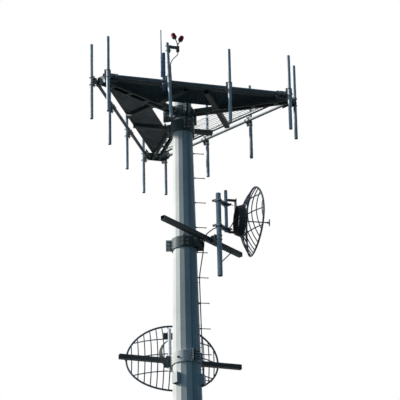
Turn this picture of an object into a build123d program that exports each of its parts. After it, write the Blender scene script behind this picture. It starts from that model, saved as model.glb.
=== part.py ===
from build123d import *
from math import atan, cos, degrees, pi, radians, sin, sqrt, tan
import os

os.makedirs("parts", exist_ok=True)

# The tower stands on its base flange. Z = 0 is the underside of the flange, X and Y cross on the
# pole's axis, and the platform's front side faces -Y. All sizes are in millimetres.

# Fits: pieces that seat on a round, tapered or sloping piece stop this far from it
seat = 0.3

# Pole shaft: sixteen flats, one even taper, three slip-jointed sections
shaft_sides = 16
shaft_turn = 5.0
shaft_top = 27650.0
shaft_top_width = 405.0
shaft_taper = 0.031
shaft_wall = 8.0
upper_length = 8650.0
middle_length = 10600.0
slip_overlap = 1200.0
slip_clearance = 0.6
shaft_cap_thickness = 10.0

# Base flange and its anchor bolt circle
flange_diameter = 1560.0
flange_thickness = 60.0
flange_bore = 900.0
flange_bolt_circle = 1420.0
flange_bolt_count = 16
flange_bolt_hole = 45.0

# Platform: three like sides round the pole, cut off at the corners, all about one level
platform_below_top = 250.0
face_pipe_diameter = 73.0
face_pipe_wall = 5.0
face_pipe_length = 4260.0
mount_pipe_distance = 1479.0
mount_pipe_spacing = 1360.0
mount_pipe_count = 4
mount_pipe_diameter = 76.0
mount_pipe_wall = 5.0
mount_pipe_length = 1785.0
tube_sides = 16
light_pipe_lean = 2.2
clamp_plate_thickness = 16.0
clamp_plate_width = 140.0
clamp_plate_height = 230.0

# Twin arms from the pole head to the corners, and the members across them
arm_below_platform = 10.0
arm_depth = 100.0
arm_flange = 45.0
arm_metal = 8.0
arm_gap = 105.0
arm_start = 330.0
arm_end = 2400.0
arm_batten_length = 90.0
arm_batten_count = 4
cross_distance = 800.0
cross_length = 1820.0
cross_width = 110.0
cross_depth = 90.0
cross_wall = 6.0
corner_plate_thickness = 14.0
corner_plate_height = 190.0
corner_wing = 220.0

# Inner rails and gratings on top of the arms
inner_rail_distance = 1190.0
inner_rail_size = 60.0
inner_rail_wall = 5.0
inner_rail_gap = 20.0
grating_inner_edge = 600.0
deck_inner_edge = 470.0
grating_pitch = 80.0
grating_bar = 8.0
grating_depth = 32.0
grating_trim = 12.0
grating_joint = 24.0

# Pole head clamp: an upper ring with the arm shoes and a lower ring, each in three segments
head_upper_below_top = 450.0
head_upper_height = 260.0
head_upper_metal = 38.0
head_upper_reach = 430.0
head_lower_below_top = 790.0
head_lower_height = 260.0
head_lower_metal = 46.0
head_lower_reach = 350.0
head_lug_turn = -90.0
lug_thickness = 16.0
lug_gap = 14.0

# Step pegs on two of the flats, staggered by half a space
peg_spacing = 590.0
peg_first = 2790.0
peg_length = 240.0
peg_diameter = 22.0
peg_sides = 4
peg_angle = -6.25
rear_peg_angle = 83.75

# Cable ports in the pole, each under a hood that is open below
port_angle = -28.75
port_count = 3
port_below_top = 6670.0
port_cut_width = 80.0
port_cut_height = 130.0
hood_below_port = 55.0
hood_width = 150.0
hood_height = 235.0
hood_reach = 82.0
hood_sheet = 8.0

# Obstruction light, on the second mount pipe of the front side
light_bracket_drop = 92.0
light_bracket_size = 60.0
light_bracket_width = 40.0
light_bracket_reach = 232.0
light_foot_height = 170.0
light_foot_drop = 50.0
light_foot_width = 70.0
light_foot_thickness = 14.0
light_box_size = 62.0
light_box_height = 130.0
light_stem_diameter = 24.0
light_stem_height = 60.0
light_arm_root = 10.0
light_arm_reach = 72.0
light_arm_rise = 108.0
light_arm_upright = 34.0
light_arm_bend = 30.0
light_arm_stagger = 23.0
light_tube_sides = 8
dome_diameter = 112.0
dome_height = 140.0
dome_collar_diameter = 92.0
dome_collar_height = 26.0
dome_shoulder_height = 96.0
dome_shoulder_diameter = 96.0
dome_crown_height = 126.0
dome_crown_diameter = 60.0
dome_tilt = 14.0
conduit_diameter = 20.0
conduit_drop = 70.0
conduit_bend = 70.0
conduit_joins_above_platform = 445.0
conduit_end_above_platform = 70.0

# Whip antenna and the pipe that holds it
whip_place = -738.0
whip_pipe_diameter = 73.0
whip_pipe_wall = 5.0
whip_pipe_above_platform = 750.0
whip_pipe_below_platform = 180.0
whip_diameter = 36.0
whip_foot_above_platform = 160.0
whip_length = 1155.0

# Dish mounts: ring clamp, bracket, box beam and dish pipe, one in the middle and one lower
beam_size = 100.0
beam_wall = 6.0
beam_length = 2740.0
beam_distance = 450.0
mount_ring_metal = 24.0
mount_ring_height = 250.0
mount_lug_reach = 120.0
mount_bracket_width = 120.0
mount_bracket_metal = 10.0
dish_pipe_diameter = 73.0
dish_pipe_wall = 5.0
dish_pipe_length = 985.0
middle_below_top = 3370.0
middle_beam_angle = 36.7
middle_beam_shift = 50.0
middle_ring_below_beam = 230.0
middle_lug_turn = -15.0
middle_lug_count = 4
lower_below_top = 6000.0
lower_beam_angle = 182.1
lower_ring_below_beam = 255.0
lower_lug_turn = -84.0
lower_lug_count = 3

# Mast on the middle beam, and the dish pipe held beside it
mast_diameter = 114.0
mast_wall = 6.0
mast_below_beam = 895.0
mast_length = 1940.0
mast_place = 328.0
mast_distance = 700.0
saddle_width = 90.0
saddle_height = 150.0
saddle_wall = 10.0
dish_pipe_offset = 270.0
dish_pipe_above_beam = 220.0
links_above_beam = (280.0, 870.0)
link_height = 60.0
link_width = 50.0
link_collar = 14.0
link_collar_sides = 8
strut_diameter = 26.0
strut_sides = 6
strut_place = 1130.0
strut_below_beam = 610.0

# Grid dishes: oval parabolic grids, each with a back hoop and a feed on a boom
middle_dish_size = (1640.0, 1490.0)
lower_dish_size = (2030.0, 1490.0)
dish_focus = 500.0
dish_grid_thickness = 12.0
dish_rim_width = 34.0
dish_rim_sides = 32
dish_rib_width = 12.0
dish_rib_spacing = 130.0
dish_cross_spacing = 370.0
hoop_front_radius = 365.0
hoop_back_radius = 320.0
hoop_depth = 150.0
hoop_metal = 6.0
hoop_sides = 32
hoop_arm_size = 45.0
middle_arm_rises = (-285.0, 475.0)
lower_arm_rises = (-342.0, 418.0)
hoop_plate_thickness = 10.0
hoop_plate_width = 200.0
hoop_plate_foot = 290.0
dish_stand_off = 310.0
feed_reach = 650.0
feed_boom_diameter = 28.0
feed_foot_diameter = 90.0
feed_foot_thickness = 14.0
feed_plate_height = 150.0
feed_plate_width = 75.0
feed_plate_thickness = 12.0
middle_dish_angle = -3.0
middle_dish_above_beam = 505.0
lower_dish_angle = 85.0
lower_dish_above_beam = 332.0
lower_dish_side = 190.0
lower_pipe_distance = 568.0
lower_pipe_place = 200.0
lower_pipe_below_beam = 200.0
brace_place = 1320.0

# Coax jumper from the middle dish, over the mount and down the pole to a port hood
coax_diameter = 24.0
coax_sides = 6
coax_bend = 60.0
coax_from_dish = 60.0
coax_tail = 90.0
coax_joins_pole_below_beam = 860.0

# Worked out from the sizes above
upper_bottom = shaft_top - upper_length
middle_bottom = upper_bottom + slip_overlap - middle_length
platform_level = shaft_top - platform_below_top
arm_top = platform_level - arm_below_platform
head_upper_bottom = shaft_top - head_upper_below_top
head_lower_bottom = shaft_top - head_lower_below_top
port_level = shaft_top - port_below_top
hood_level = port_level - hood_below_port
middle_level = shaft_top - middle_below_top
lower_level = shaft_top - lower_below_top
peg_count = 1 + int((head_lower_bottom - peg_first - peg_spacing / 2) / peg_spacing)
shaft_slope = degrees(atan(shaft_taper / 2))
slip_step = 2 * (shaft_wall + slip_clearance)
arm_web_face = arm_gap / 2 + arm_flange
face_pipe_distance = (
    mount_pipe_distance
    - mount_pipe_diameter / 2
    - clamp_plate_thickness
    - 2 * seat
    - face_pipe_diameter / 2
)
side_turns = {"front": 0, "right": 120, "left": 240}
corner_turns = (-150, -30, 90)
RISE = (Align.CENTER, Align.CENTER, Align.MIN)
OUTWARD = (Align.MIN, Align.CENTER)


def shaft_width(level):
    """Width across the shaft's flats at a level, as the outer section there has it."""
    width = shaft_top_width + shaft_taper * (shaft_top - level)
    if level < upper_bottom:
        width -= slip_step
    if level < middle_bottom:
        width -= slip_step
    return width


def shaft_piece(bottom, top, grow=0.0):
    """Solid length of the tapered shaft, with all its flats moved out by grow."""
    with BuildPart() as piece:
        with BuildSketch(Plane.XY.offset(bottom)):
            half = shaft_width(bottom) / 2 + grow
            RegularPolygon(half, shaft_sides, major_radius=False, rotation=shaft_turn)
        extrude(amount=top - bottom, taper=shaft_slope)
    return piece.part


def run(start, end):
    """Plane at start whose Z points to end, with its X level."""
    line = Vector(*end) - Vector(*start)
    side = Vector(0, 0, 1).cross(line)
    if side.length < 1e-6 * line.length:
        side = Vector(1, 0, 0)
    return Plane(origin=start, x_dir=side, z_dir=line)


def distance(start, end):
    return (Vector(*end) - Vector(*start)).length


def polar(radius, angle, level):
    return (radius * cos(radians(angle)), radius * sin(radians(angle)), level)


def put(piece, label):
    """Write a piece under its label."""
    piece.label = label
    export_step(piece, f"parts/{label}.step")


def around(piece, turns):
    """Like pieces turned about the pole's axis, kept as one node."""
    return Compound(children=[piece.rotate(Axis.Z, turn) for turn in turns])


# Base flange: a flat ring whose bore follows the pole's flats, with the anchor bolt holes
with BuildPart() as base_flange:
    with BuildSketch():
        Circle(flange_diameter / 2)
        RegularPolygon(
            flange_bore / 2, shaft_sides, major_radius=False, rotation=shaft_turn, mode=Mode.SUBTRACT
        )
        with PolarLocations(flange_bolt_circle / 2, flange_bolt_count):
            Circle(flange_bolt_hole / 2, mode=Mode.SUBTRACT)
    extrude(amount=flange_thickness)
put(base_flange.part, "base_flange")


# Shaft: three hollow sections, each slipped over the one below
def shaft_section(bottom, top):
    with BuildPart() as section:
        add(shaft_piece(bottom, top))
        add(shaft_piece(bottom, top, grow=-shaft_wall), mode=Mode.SUBTRACT)
    return section.part


put(shaft_section(flange_thickness, middle_bottom + slip_overlap), "lower_shaft")
put(shaft_section(middle_bottom, upper_bottom + slip_overlap), "middle_shaft")

# The upper section has the cable ports cut through its wall
with BuildPart() as upper_shaft:
    add(shaft_section(upper_bottom, shaft_top))
    with BuildSketch(Plane.XY.offset(port_level)):
        with PolarLocations(0, port_count, start_angle=port_angle):
            Rectangle(shaft_width(port_level), port_cut_width, align=OUTWARD)
    extrude(amount=port_cut_height, mode=Mode.SUBTRACT)
put(upper_shaft.part, "upper_shaft")

with BuildPart() as shaft_cap:
    with BuildSketch(Plane.XY.offset(shaft_top)):
        RegularPolygon(shaft_top_width / 2, shaft_sides, major_radius=False, rotation=shaft_turn)
    extrude(amount=shaft_cap_thickness)
put(shaft_cap.part, "shaft_cap")

# Port hoods: bent sheet boxes, open below and against the pole
with BuildPart() as port_hoods:
    near = shaft_width(hood_level + hood_height) / 2 - hood_sheet
    far = shaft_width(hood_level) / 2 + hood_reach
    with BuildSketch(Plane.XY.offset(hood_level)):
        with PolarLocations(near, port_count, start_angle=port_angle):
            Rectangle(far - near, hood_width, align=OUTWARD)
    extrude(amount=hood_height)
    with BuildSketch(Plane.XY.offset(hood_level)):
        with PolarLocations(near, port_count, start_angle=port_angle):
            Rectangle(far - near - hood_sheet, hood_width - 2 * hood_sheet, align=OUTWARD)
    extrude(amount=hood_height - hood_sheet, mode=Mode.SUBTRACT)
    add(shaft_piece(hood_level, hood_level + hood_height, grow=seat), mode=Mode.SUBTRACT)
put(port_hoods.part, "port_hoods")

# Step pegs: six-sided bars on two of the flats
with BuildPart() as peg:
    with BuildSketch(Plane.YZ):
        RegularPolygon(peg_diameter / 2, peg_sides)
    extrude(amount=peg_length)


def pegs(angle, shift):
    row = []
    for i in range(peg_count):
        level = peg_first + shift + i * peg_spacing
        root = shaft_width(level - peg_diameter / 2) / 2 + seat
        row.append(peg.part.moved(Location(polar(root, angle, level), (0, 0, angle))))
    return Compound(children=row)


put(pegs(peg_angle, 0), "step_pegs_side")
put(pegs(rear_peg_angle, peg_spacing / 2), "step_pegs_rear")


# Ring clamps: bands that follow the shaft's flats, split by bolted pairs of lugs
def ring(bottom, height, metal, lug_count, lug_turn, lug_reach, rolled=False):
    corner = (shaft_width(bottom) / 2 + seat) / cos(pi / shaft_sides)
    with BuildPart() as band:
        if rolled:
            with Locations((0, 0, bottom)):
                Cylinder(corner + metal, height, align=RISE)
        else:
            add(shaft_piece(bottom, bottom + height, grow=metal))
        with BuildSketch(Plane.XY.offset(bottom)):
            with PolarLocations(0, lug_count, start_angle=lug_turn):
                Rectangle(lug_reach, lug_gap + 2 * lug_thickness, align=OUTWARD)
        extrude(amount=height)
        if rolled:
            with Locations((0, 0, bottom)):
                Cylinder(corner, height, align=RISE, mode=Mode.SUBTRACT)
        else:
            add(shaft_piece(bottom, bottom + height, grow=seat), mode=Mode.SUBTRACT)
        with BuildSketch(Plane.XY.offset(bottom)):
            with PolarLocations(0, lug_count, start_angle=lug_turn):
                Rectangle(lug_reach, lug_gap, align=OUTWARD)
        extrude(amount=height, mode=Mode.SUBTRACT)
    return band.part


# Upper head ring, with an open-topped shoe for each pair of arms
with BuildPart() as head_clamp_upper:
    add(
        ring(
            head_upper_bottom,
            head_upper_height,
            head_upper_metal,
            len(corner_turns),
            head_lug_turn,
            head_upper_reach,
        )
    )
    shoe_start = shaft_width(head_upper_bottom) / 2 + head_upper_metal / 2
    shoe_length = arm_start - shoe_start
    with BuildSketch(Plane.XY.offset(arm_top - arm_depth)):
        with PolarLocations(shoe_start, len(corner_turns), start_angle=corner_turns[0]):
            Rectangle(shoe_length, 2 * arm_web_face, align=OUTWARD)
            Rectangle(
                shoe_length - arm_metal,
                2 * (arm_web_face - arm_metal),
                align=OUTWARD,
                mode=Mode.SUBTRACT,
            )
    extrude(amount=arm_depth)
put(head_clamp_upper.part, "head_clamp_upper")
head_clamp_lower = ring(
    head_lower_bottom,
    head_lower_height,
    head_lower_metal,
    len(corner_turns),
    head_lug_turn,
    head_lower_reach,
)
put(head_clamp_lower, "head_clamp_lower")

# Twin arm: two channels with their flanges turned in, joined by battens
with BuildPart() as arm:
    for side in (-1, 1):
        with BuildSketch(Plane.YZ.offset(arm_start)):
            with Locations((side * (arm_web_face - arm_flange / 2), arm_top - arm_depth / 2)):
                Rectangle(arm_flange, arm_depth)
            with Locations((side * (arm_gap / 2 + arm_flange / 2 - arm_metal), arm_top - arm_depth / 2)):
                Rectangle(arm_flange, arm_depth - 2 * arm_metal, mode=Mode.SUBTRACT)
        extrude(amount=arm_end - arm_start)
    for i in range(arm_batten_count):
        place = arm_start + (i + 0.5) * (arm_end - arm_start) / arm_batten_count
        with Locations((place, 0, arm_top - arm_depth)):
            Box(arm_batten_length, arm_gap + 2 * arm_metal, arm_metal, align=RISE)
put(around(arm.part, corner_turns), "arms")

# Cross members: a box tube butted to each outer web of its arm
with BuildPart() as cross_member:
    for side in (-1, 1):
        with BuildSketch(Plane.XZ.offset(-side * arm_web_face)):
            with Locations((cross_distance, arm_top - cross_depth / 2)):
                Rectangle(cross_width, cross_depth)
                Rectangle(cross_width - 2 * cross_wall, cross_depth - 2 * cross_wall, mode=Mode.SUBTRACT)
        extrude(amount=-side * (cross_length / 2 - arm_web_face))
put(around(cross_member.part, corner_turns), "cross_members")

# Corner plate: bent across the arm's end, with a wing along each face pipe
with BuildPart() as corner_plate:
    wing_line = face_pipe_distance - face_pipe_diameter / 2 - seat
    outer = arm_end + corner_plate_thickness
    bend = (wing_line - outer * cos(radians(60))) / sin(radians(60))
    tip_x = outer - corner_wing * cos(radians(30))
    tip_y = bend + corner_wing * sin(radians(30))
    with BuildSketch(Plane.XY.offset(arm_top - arm_depth)):
        with BuildLine():
            Polyline((tip_x, -tip_y), (outer, -bend), (outer, bend), (tip_x, tip_y))
            offset(amount=-corner_plate_thickness, side=Side.LEFT)
        make_face()
    extrude(amount=corner_plate_height)
put(around(corner_plate.part, corner_turns), "corner_plates")

# Face pipe: level, along each side
with BuildPart() as face_pipe:
    with BuildSketch(Plane.YZ):
        with Locations((-face_pipe_distance, platform_level)):
            RegularPolygon(face_pipe_diameter / 2, tube_sides)
            RegularPolygon(face_pipe_diameter / 2 - face_pipe_wall, tube_sides, mode=Mode.SUBTRACT)
    extrude(amount=face_pipe_length / 2, both=True)
put(around(face_pipe.part, side_turns.values()), "face_pipes")

# Inner rail: box tube on top of the arms
with BuildPart() as inner_rail:
    rail_half = (inner_rail_distance - inner_rail_size / 2) * tan(radians(60)) - inner_rail_gap
    rail_bore = inner_rail_size - 2 * inner_rail_wall
    with BuildSketch(Plane.YZ.offset(-rail_half)):
        with Locations((-inner_rail_distance, arm_top + inner_rail_size / 2)):
            Rectangle(inner_rail_size, inner_rail_size)
            Rectangle(rail_bore, rail_bore, mode=Mode.SUBTRACT)
    extrude(amount=2 * rail_half)
put(around(inner_rail.part, side_turns.values()), "inner_rails")


# Gratings: a trimmed outline that narrows towards the pole, filled with bars
def outline_half(distance_out):
    return distance_out * tan(radians(60)) - grating_joint


def grating(inner_edge):
    outer_edge = inner_rail_distance - inner_rail_size / 2 - seat
    half_in = outline_half(inner_edge)
    half_out = outline_half(outer_edge)
    with BuildPart() as panel:
        with BuildSketch(Plane.XY.offset(arm_top)):
            Polygon(
                (-half_out, -outer_edge),
                (half_out, -outer_edge),
                (half_in, -inner_edge),
                (-half_in, -inner_edge),
                align=None,
            )
            offset(amount=-grating_trim, mode=Mode.SUBTRACT)
            count = int((outer_edge - inner_edge) / grating_pitch)
            for i in range(1, count + 1):
                place = inner_edge + i * (outer_edge - inner_edge) / (count + 1)
                with Locations((0, -place)):
                    Rectangle(2 * outline_half(place) - grating_trim, grating_bar)
        extrude(amount=grating_depth)
    return panel.part


put(grating(deck_inner_edge), "grating_front")
side_panel = grating(grating_inner_edge)
put(around(side_panel, (side_turns["right"], side_turns["left"])), "gratings_side")


# Mount pipes, and the clamp plates between them and the face pipe
def mount_place(i):
    return (i - (mount_pipe_count - 1) / 2) * mount_pipe_spacing


def mount_pipes(leans):
    with BuildPart() as pipes:
        for i, lean in enumerate(leans):
            foot = (mount_place(i), -mount_pipe_distance, platform_level)
            with BuildSketch(Plane(Location(foot, (0, -lean, 0)))):
                RegularPolygon(mount_pipe_diameter / 2, tube_sides)
                RegularPolygon(mount_pipe_diameter / 2 - mount_pipe_wall, tube_sides, mode=Mode.SUBTRACT)
            extrude(amount=mount_pipe_length / 2, both=True)
    return pipes.part


leans = {"front": (0, light_pipe_lean, 0, 0), "right": (0, 0, 0, 0), "left": (0, 0, 0, 0)}
for name, turn in side_turns.items():
    put(around(mount_pipes(leans[name]), (turn,)), f"mount_pipes_{name}")

with BuildPart() as clamp_plates:
    middle = face_pipe_distance + face_pipe_diameter / 2 + seat + clamp_plate_thickness / 2
    for i in range(mount_pipe_count):
        with Locations((mount_place(i), -middle, platform_level)):
            Box(clamp_plate_width, clamp_plate_thickness, clamp_plate_height)
put(around(clamp_plates.part, side_turns.values()), "clamp_plates")

# Obstruction light: bracket on the leaning pipe, then a box with a forked stem, then two domes
light_level = platform_level + mount_pipe_length / 2 - light_bracket_drop
light_box_top = light_level + light_bracket_size / 2
lean_slope = tan(radians(light_pipe_lean))


def pipe_side(level, reach):
    """Point beside the leaning pipe at a level, out from its centre along X."""
    x = mount_place(1) - (level - platform_level) * lean_slope
    return (x + reach, -mount_pipe_distance, level)


light_x = pipe_side(light_level, light_bracket_reach)[0]
pipe_face = (mount_pipe_diameter / 2 + seat) / cos(radians(light_pipe_lean))
foot_reach = pipe_face + (light_foot_height / 2 + light_foot_drop) * lean_slope
ON_SIDE = (Align.MIN, Align.CENTER, Align.CENTER)
with BuildPart() as light_bracket:
    with Locations(pipe_side(light_level, foot_reach)):
        Box(
            light_bracket_reach - foot_reach - light_box_size / 2,
            light_bracket_width,
            light_bracket_size,
            align=ON_SIDE,
        )
        with Locations((0, 0, -light_foot_drop)):
            Box(light_foot_thickness, light_foot_width, light_foot_height, align=ON_SIDE)
put(light_bracket.part, "light_bracket")


def fork_arm(side):
    """The foot, knee and end of a fork arm, and the way its lamp points."""
    lamp = Vector(side * sin(radians(dome_tilt)), 0, cos(radians(dome_tilt)))
    stem_top = Vector(light_x, -mount_pipe_distance, light_box_top + light_stem_height)
    foot = stem_top - Vector(0, 0, light_arm_root)
    end = stem_top + Vector(side * light_arm_reach, 0, light_arm_rise - side * light_arm_stagger)
    return foot, end - lamp * light_arm_upright, end, lamp


with BuildPart() as light_box:
    with Locations((light_x, -mount_pipe_distance, light_box_top)):
        Box(
            light_box_size,
            light_box_size,
            light_box_height,
            align=(Align.CENTER, Align.CENTER, Align.MAX),
        )
        with BuildSketch(Plane.XY.offset(light_box_top)):
            with Locations((light_x, -mount_pipe_distance)):
                RegularPolygon(light_stem_diameter / 2, light_tube_sides)
        extrude(amount=light_stem_height)
    for side in (-1, 1):
        foot, knee, end, lamp = fork_arm(side)
        with BuildLine() as bent:
            FilletPolyline(foot, knee, end, radius=light_arm_bend)
        with BuildSketch(run(tuple(foot), tuple(knee))):
            RegularPolygon(light_stem_diameter / 2, light_tube_sides)
        sweep(path=bent.line)
put(light_box.part, "light_box")

with BuildPart() as dome:
    with BuildSketch(Plane.XZ):
        with BuildLine():
            Polyline(
                (0, 0),
                (dome_collar_diameter / 2, 0),
                (dome_collar_diameter / 2, dome_collar_height),
                (dome_diameter / 2, dome_collar_height),
                (dome_shoulder_diameter / 2, dome_shoulder_height),
                (dome_crown_diameter / 2, dome_crown_height),
                (0, dome_height),
                close=True,
            )
        make_face()
    revolve(axis=Axis.Z)
lit = []
for side in (-1, 1):
    foot, knee, end, lamp = fork_arm(side)
    base = end + lamp * seat
    lit.append(dome.part.moved(Location(run(tuple(base), tuple(base + lamp)))))
put(Compound(children=lit), "light_domes")

# Conduit from the light's box to the leaning pipe, then down beside it
with BuildPart() as light_conduit:
    beside = (mount_pipe_diameter / 2 + conduit_diameter / 2 + seat) / cos(radians(light_pipe_lean))
    top = (light_x, -mount_pipe_distance, light_box_top - light_box_height - seat)
    below = (top[0], top[1], top[2] - conduit_drop)
    with BuildLine() as way:
        FilletPolyline(
            top,
            below,
            pipe_side(platform_level + conduit_joins_above_platform, beside),
            pipe_side(platform_level + conduit_end_above_platform, beside),
            radius=conduit_bend,
        )
    with BuildSketch(run(top, below)):
        RegularPolygon(conduit_diameter / 2, light_tube_sides)
    sweep(path=way.line)
put(light_conduit.part, "light_conduit")


# Round tube standing at a place
def pipe(place, bottom, diameter, wall, length):
    with BuildPart() as tube:
        with Locations((place[0], place[1], bottom)):
            Cylinder(diameter / 2, length, align=RISE)
            Cylinder(diameter / 2 - wall, length, align=RISE, mode=Mode.SUBTRACT)
    return tube.part


# Whip antenna beside its support pipe, which stands against the front inner rail
whip_y = -(inner_rail_distance + inner_rail_size / 2 + seat + whip_pipe_diameter / 2)
whip_pipe = pipe(
    (whip_place, whip_y),
    platform_level - whip_pipe_below_platform,
    whip_pipe_diameter,
    whip_pipe_wall,
    whip_pipe_above_platform + whip_pipe_below_platform,
)
put(whip_pipe, "whip_pipe")
with BuildPart() as whip_antenna:
    whip_x = whip_place - whip_pipe_diameter / 2 - whip_diameter / 2 - seat
    with Locations((whip_x, whip_y, platform_level + whip_foot_above_platform)):
        Cylinder(whip_diameter / 2, whip_length, align=RISE)
put(whip_antenna.part, "whip_antenna")


# Dish mounts
def beam_point(angle, away, along, level):
    """Point beside the pole: away from it, square to the beam, and along the beam's direction."""
    out = radians(angle - 90)
    way = radians(angle)
    return (away * cos(out) + along * cos(way), away * sin(out) + along * sin(way), level)


def mount_clamp(ring_bottom, lug_count, lug_turn, beam_angle, beam_level):
    """Ring clamp with the open-topped bracket that carries the beam."""
    top = beam_level + beam_size / 2
    near = (shaft_width(ring_bottom) / 2 + seat) / cos(pi / shaft_sides)
    reach = near + mount_ring_metal + mount_lug_reach
    length = beam_distance - beam_size / 2 - near
    with BuildPart() as clamp:
        with BuildSketch(Plane.XY.offset(ring_bottom)):
            with PolarLocations(near, 1, start_angle=beam_angle - 90):
                Rectangle(length, mount_bracket_width, align=OUTWARD)
                Rectangle(
                    length - mount_bracket_metal,
                    mount_bracket_width - 2 * mount_bracket_metal,
                    align=OUTWARD,
                    mode=Mode.SUBTRACT,
                )
        extrude(amount=top - ring_bottom)
        add(
            ring(
                ring_bottom,
                mount_ring_height,
                mount_ring_metal,
                lug_count,
                lug_turn,
                reach,
                rolled=True,
            )
        )
    return clamp.part


def box_beam(angle, level, shift):
    start = beam_point(angle, beam_distance, shift - beam_length / 2, level)
    end = beam_point(angle, beam_distance, shift + beam_length / 2, level)
    with BuildPart() as beam:
        with BuildSketch(run(start, end)):
            Rectangle(beam_size, beam_size)
            Rectangle(beam_size - 2 * beam_wall, beam_size - 2 * beam_wall, mode=Mode.SUBTRACT)
        extrude(amount=beam_length)
    return beam.part


def beam_space(angle, level, shift):
    """What the beam fills, with the seat round it."""
    start = beam_point(angle, beam_distance, shift - beam_length / 2, level)
    end = beam_point(angle, beam_distance, shift + beam_length / 2, level)
    with BuildPart() as space:
        with BuildSketch(run(start, end)):
            Rectangle(beam_size + 2 * seat, beam_size + 2 * seat)
        extrude(amount=beam_length)
    return space.part


def saddle(angle, pipe_distance, pipe_diameter, along, level):
    """Short box between the beam's face and a pipe."""
    start = beam_point(angle, beam_distance + beam_size / 2, along, level)
    end = beam_point(angle, pipe_distance - pipe_diameter / 2 - seat, along, level)
    with BuildPart() as block:
        with BuildSketch(run(start, end)):
            Rectangle(saddle_width, saddle_height)
            Rectangle(saddle_width - 2 * saddle_wall, saddle_height - 2 * saddle_wall, mode=Mode.SUBTRACT)
        extrude(amount=distance(start, end) - saddle_wall)
        with BuildSketch(run(end, start)):
            Rectangle(saddle_width, saddle_height)
        extrude(amount=saddle_wall)
    return block.part


# Grid dish, made with its vertex at the origin and its axis along X
def depth_at(radius):
    return radius * radius / (4 * dish_focus)


def bar_depth(place, step):
    """Depth of a bar's straight length at a place, between stations a step apart."""
    low = place // step * step
    return depth_at(low) + (place - low) * (depth_at(low + step) - depth_at(low)) / step


hoop_inner = (hoop_front_radius - hoop_metal) * cos(pi / hoop_sides)
hoop_seat_depth = min(
    bar_depth(hoop_inner, dish_rib_spacing), bar_depth(hoop_inner, dish_cross_spacing / 2)
)
hoop_front = hoop_seat_depth - dish_grid_thickness / 2 - seat
hoop_back = hoop_front - hoop_depth


def strip(half, base, stations):
    """Bar of short straight lengths that follows the bowl, from one side of the oval to the other."""
    inner = [place for place in stations if abs(place) < half - dish_rim_width]
    places = [-half] + inner + [half]
    metal = dish_grid_thickness / 2
    back = [(base + depth_at(place) - metal, place) for place in places]
    front = [(base + depth_at(place) + metal, place) for place in reversed(places)]
    return back + front


def oval_half(place, half_across, half_along):
    return half_across * sqrt(1 - (place / half_along) ** 2)


def dish_rim(size, grow=0.0):
    """Six-sided rim bar in short straight lengths round the oval."""
    turns = [2 * pi * i / dish_rim_sides for i in range(dish_rim_sides)]
    points = [(size[0] / 2 * cos(turn), size[1] / 2 * sin(turn)) for turn in turns]
    ends = [Vector(depth_at(sqrt(y * y + z * z)), y, z) for y, z in points]
    with BuildPart() as rim:
        with BuildLine() as path:
            Polyline(*ends, close=True)
        with BuildSketch(Plane(origin=ends[0], z_dir=ends[1] - ends[-1])):
            RegularPolygon(dish_rim_width / 2 + grow, 6)
        sweep(path=path.line, transition=Transition.RIGHT)
    return rim.part


def dish_grid(size):
    half_width, half_height = size[0] / 2, size[1] / 2
    ribs = int((half_width - dish_rim_width) / dish_rib_spacing)
    rib_places = [i * dish_rib_spacing for i in range(-ribs, ribs + 1)]
    cross_places = [i * dish_cross_spacing for i in (-1, 0, 1)]
    rib_stations = [i * dish_cross_spacing / 2 for i in range(-3, 4)]
    with BuildPart() as whole:
        add(dish_rim(size))
        for place in cross_places:
            half = oval_half(place, half_width, half_height)
            with BuildSketch(Plane.XY.offset(place)):
                with BuildLine():
                    Polyline(*strip(half, depth_at(place), rib_places), close=True)
                make_face()
            extrude(amount=dish_rib_width / 2, both=True)
        for place in rib_places:
            half = oval_half(place, half_height, half_width)
            with BuildSketch(Plane.XZ.offset(-place)):
                with BuildLine():
                    Polyline(*strip(half, depth_at(place), rib_stations), close=True)
                make_face()
            extrude(amount=dish_rib_width / 2, both=True)
    return whole.part


def hoop():
    """Back hoop: a many-sided cone band whose front edge seats on the back of the grid."""
    spread = degrees(atan((hoop_front_radius - hoop_back_radius) / hoop_depth))
    with BuildPart() as band:
        with BuildSketch():
            RegularPolygon(hoop_front_radius, hoop_sides)
        extrude(amount=hoop_depth, taper=spread)
        with BuildSketch():
            RegularPolygon(hoop_front_radius - hoop_metal, hoop_sides)
        extrude(amount=hoop_depth, taper=spread, mode=Mode.SUBTRACT)
    return band.part.rotate(Axis.Y, -90).translate((hoop_front, 0, 0))


def feed():
    """Boom that stands on the grid's middle crossing, with the feed's plate at its end."""
    rise = depth_at(dish_cross_spacing / 2) * feed_foot_diameter / dish_cross_spacing
    foot = dish_grid_thickness / 2 + rise + seat
    with BuildPart() as boom:
        with BuildSketch(Plane.YZ.offset(foot)):
            RegularPolygon(feed_boom_diameter / 2, strut_sides)
        extrude(amount=feed_reach - foot)
        with BuildSketch(Plane.YZ.offset(foot)):
            RegularPolygon(feed_foot_diameter / 2, hoop_sides // 2)
        extrude(amount=feed_foot_thickness)
        with Locations((feed_reach, 0, 0)):
            Box(feed_plate_thickness, feed_plate_width, feed_plate_height, align=ON_SIDE)
    return boom.part


def hoop_arms(side, rises):
    """Level arms from the dish pipe's face, each with a plate that holds the hoop's back edge."""
    near = dish_pipe_diameter / 2 + seat - dish_stand_off
    with BuildPart() as arms:
        for rise in rises:
            with Locations((near, side, rise)):
                Box(hoop_back - near, hoop_arm_size, hoop_arm_size, align=ON_SIDE)
            tip = rise + hoop_arm_size / 2 if rise > 0 else rise - hoop_arm_size / 2
            foot = hoop_plate_foot if rise > 0 else -hoop_plate_foot
            with Locations((hoop_back, side / 2, (tip + foot) / 2)):
                Box(
                    hoop_plate_thickness,
                    abs(side) + hoop_plate_width,
                    abs(tip - foot),
                    align=(Align.MAX, Align.CENTER, Align.CENTER),
                )
    return arms.part


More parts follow.
